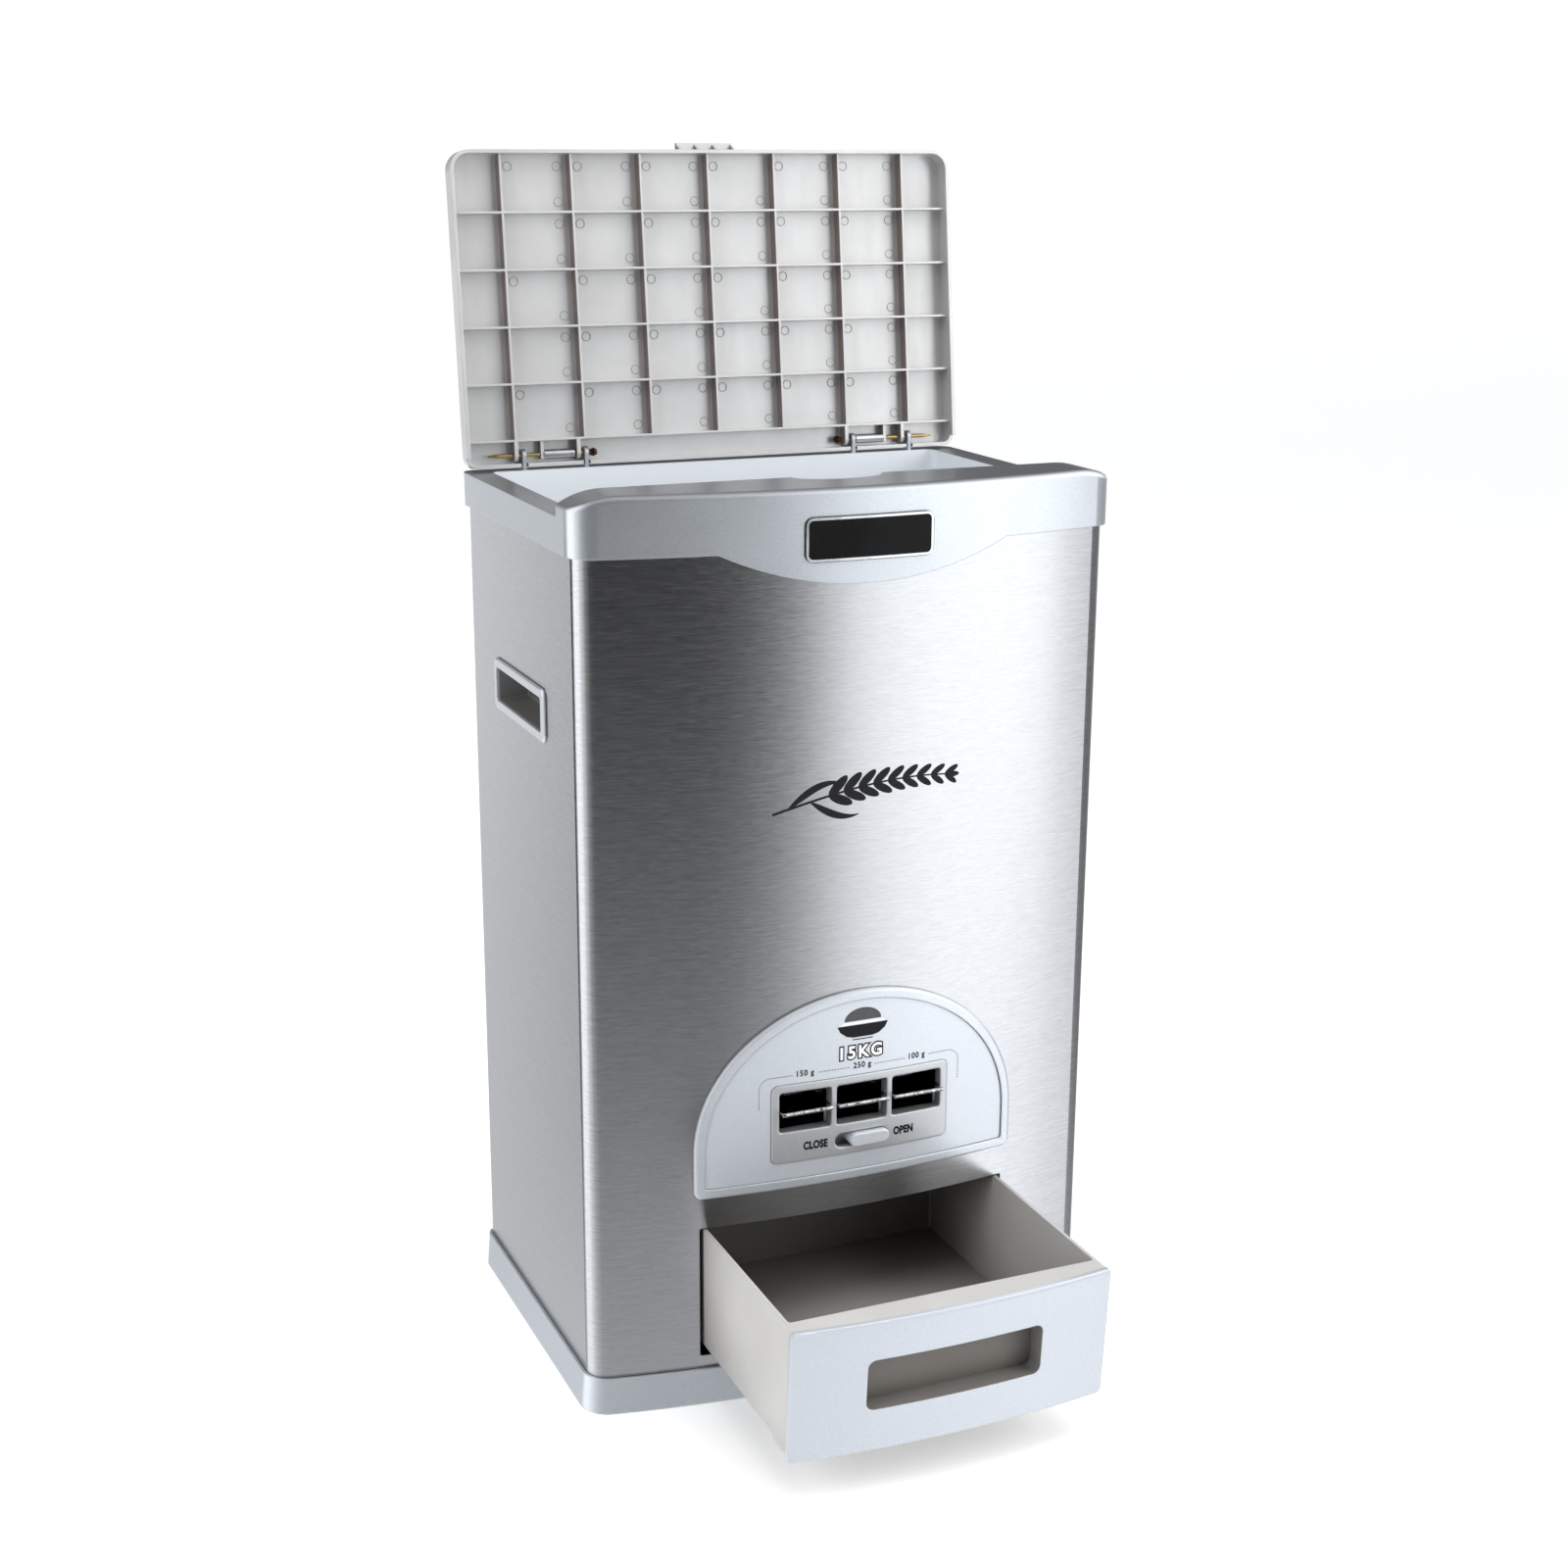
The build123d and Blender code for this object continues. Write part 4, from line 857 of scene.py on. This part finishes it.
def earTree(sizes):
    # grains in pairs along a stem, each pair a little smaller than the one before
    tree, given, end = newTree("grain_ear", sizes)
    line = addNode(tree, "GeometryNodeCurveToPoints", mode="COUNT")
    along = addNode(tree, "GeometryNodeSplineParameter")
    keep = addNode(tree, "GeometryNodeStoreNamedAttribute", data_type="FLOAT", domain="POINT")
    keep.inputs["Name"].default_value = "along"
    read = addNode(tree, "GeometryNodeInputNamedAttribute", data_type="FLOAT")
    read.inputs["Name"].default_value = "along"
    grain = addNode(tree, "GeometryNodeMeshCircle", fill_type="TRIANGLE_FAN")
    grain.inputs["Vertices"].default_value = 18
    grain.inputs["Radius"].default_value = 0.5
    shape = addNode(tree, "GeometryNodeTransform")
    size = addNode(tree, "ShaderNodeCombineXYZ")
    size.inputs[2].default_value = 1
    shift = addNode(tree, "ShaderNodeCombineXYZ")
    wire(tree, (given["Geometry"], keep.inputs["Geometry"]), (along.outputs["Factor"], keep.inputs["Value"]),
         (keep.outputs["Geometry"], line.inputs["Curve"]), (given["Pairs"], line.inputs["Count"]),
         (given["Long"], size.inputs[0]), (given["Wide"], size.inputs[1]),
         (calc(tree, "MULTIPLY", given["Long"], 0.5), shift.inputs[0]),
         (grain.outputs["Mesh"], shape.inputs["Geometry"]), (size.outputs[0], shape.inputs["Scale"]),
         (shift.outputs[0], shape.inputs["Translation"]))
    smaller = calc(tree, "SUBTRACT", 1, calc(tree, "MULTIPLY", read.outputs["Attribute"], given["Taper"]))
    join = addNode(tree, "GeometryNodeJoinGeometry")
    for sign in (-1, 1):
        aim = addNode(tree, "FunctionNodeAlignRotationToVector", axis="X")
        euler = addNode(tree, "ShaderNodeCombineXYZ")
        turn = addNode(tree, "FunctionNodeRotateRotation", rotation_space="LOCAL")
        place = addNode(tree, "GeometryNodeInstanceOnPoints")
        wire(tree, (line.outputs["Tangent"], aim.inputs["Vector"]),
             (calc(tree, "MULTIPLY", given["Spread"], sign * pi / 180), euler.inputs[2]),
             (aim.outputs[0], turn.inputs["Rotation"]), (euler.outputs[0], turn.inputs["Rotate By"]),
             (line.outputs["Points"], place.inputs["Points"]), (shape.outputs[0], place.inputs["Instance"]),
             (turn.outputs[0], place.inputs["Rotation"]), (smaller, place.inputs["Scale"]),
             (place.outputs[0], join.inputs[0]))
    return closeTree(tree, given, end, join.outputs[0])


def earLine(fromX):
    # the arched line from fromX to the ear's end
    s = earSet
    span = s["endX"] - s["startX"]
    return [(x, s["low"] + s["arch"] * sin(pi * s["bend"] * (x - s["startX"]) / span))
            for x in (fromX + (s["endX"] - fromX) * i / s["steps"] for i in range(s["steps"] + 1))]


def grainEar():
    s = earSet
    sizes = {"Pairs": s["pairs"], "Long": s["long"], "Wide": s["wide"], "Spread": s["spread"],
             "Taper": s["taper"]}
    grainLine = pathObject("ear_line", [earLine(s["startX"] + s["bare"])])
    ear = grow("ear_grains", earTree, sizes, grainLine, blackInk)
    stemLine = earLine(s["startX"])
    root, end = s["stemWidth"]
    stem = ribbon("ear_stem", stemLine, [root - (root - end) * i / s["steps"] for i in range(s["steps"] + 1)])
    pieces = [ear, stem]
    for reach, rise, joint in s["leaves"]:
        x, z = stemLine[joint]
        shares = [i / s["leafSteps"] for i in range(s["leafSteps"] + 1)]
        line = [(x + reach * t, z + rise * sin(pi * s["bend"] * t)) for t in shares]
        least, more = s["leafWidth"]
        pieces.append(ribbon("ear_leaf", line, [least + more * sin(pi * t ** 0.8) for t in shares]))
    x, z = stemLine[-1]
    pieces.append(flatShape("tip", arc(x + s["tipShift"][0], z + s["tipShift"][1], *s["tipSize"], 0, 360, 20)))
    printOn(joined("front_grain_ear", pieces), 0.0, blackInk)


grainEar()
print("grain ear printed")

# badge: bare black plate with a silver edge
badgeSet = dict(halfX=39.0, low=503.5, high=528.5, corner=4.5, inset=0.25, line=1.5)


def badgeEdge():
    s = badgeSet
    outer, inner = (roundedBox(s["halfX"] - rim, s["low"] + rim, s["high"] - rim, s["corner"] - rim)
                    for rim in (s["inset"], s["inset"] + s["line"]))
    printOn(flatShape("badge_silver_edge", outer, inner), frontSet["badge"], edgeFoil)


badgeEdge()
print("badge edged")

# floor, curving up into a wall far behind; mirrors see the studio's rings in its place
floorSet = dict(flat=5.0, bend=2.0, top=4.0, half=10.0, colour=(0.93, 0.93, 0.935), glow=0.35,
                roundAt=13.0, roundTop=9.0, roundSteps=48)


def makeFloor():
    s = floorSet
    finish, tree, shader = newFinish("pale_floor", s["colour"], 0.0, 0.6)
    tone = between(tree, grainField(tree, (3, 3, 3), 3), 0, 1)
    tree.links.new(mixed(tree, tone, tuple(c * 0.985 for c in s["colour"]), s["colour"]),
                   shader.inputs["Base Color"])
    shader.inputs["Emission Color"].default_value = (1, 1, 1, 1)
    shader.inputs["Emission Strength"].default_value = s["glow"]
    run = [(-s["half"], 0.0), (s["flat"], 0.0)]
    run += [(s["flat"] + s["bend"] * sin(radians(a)), s["bend"] - s["bend"] * cos(radians(a)))
            for a in range(10, 91, 10)]
    run.append((s["flat"] + s["bend"], s["top"]))
    points = [(x, y, z) for y, z in run for x in (-s["half"], s["half"])]
    floor = meshOf("floor", points, [(2 * i, 2 * i + 1, 2 * i + 3, 2 * i + 2) for i in range(len(run) - 1)])
    for polygon in floor.data.polygons:
        polygon.use_smooth = True
    floor.data.materials.append(finish)
    floor.visible_glossy = False


def makeRound():
    # a pale wall all round that only the camera sees: the object stands before the same white on every side
    finish, tree, shader = newFinish("pale_surround", (0, 0, 0), 0.0, 1.0)
    shader.inputs["Specular IOR Level"].default_value = 0
    shader.inputs["Emission Color"].default_value = (1, 1, 1, 1)
    shader.inputs["Emission Strength"].default_value = 1.0
    reach, top, steps = floorSet["roundAt"], floorSet["roundTop"], floorSet["roundSteps"]
    ring = [(reach * cos(2 * pi * i / steps), reach * sin(2 * pi * i / steps)) for i in range(steps)]
    points = [(x, y, z) for x, y in ring for z in (-0.2, top)] + [(0, 0, top + 1)]
    faces = [(2 * i, 2 * i + 1, (2 * i + 3) % (2 * steps), (2 * i + 2) % (2 * steps)) for i in range(steps)]
    faces += [(2 * i + 1, 2 * steps, (2 * i + 3) % (2 * steps)) for i in range(steps)]
    surround = meshOf("surround", points, faces)
    surround.data.materials.append(finish)
    for ray in ("diffuse", "glossy", "transmission", "volume_scatter", "shadow"):
        setattr(surround, "visible_" + ray, False)


makeFloor()
makeRound()
print("floor laid")
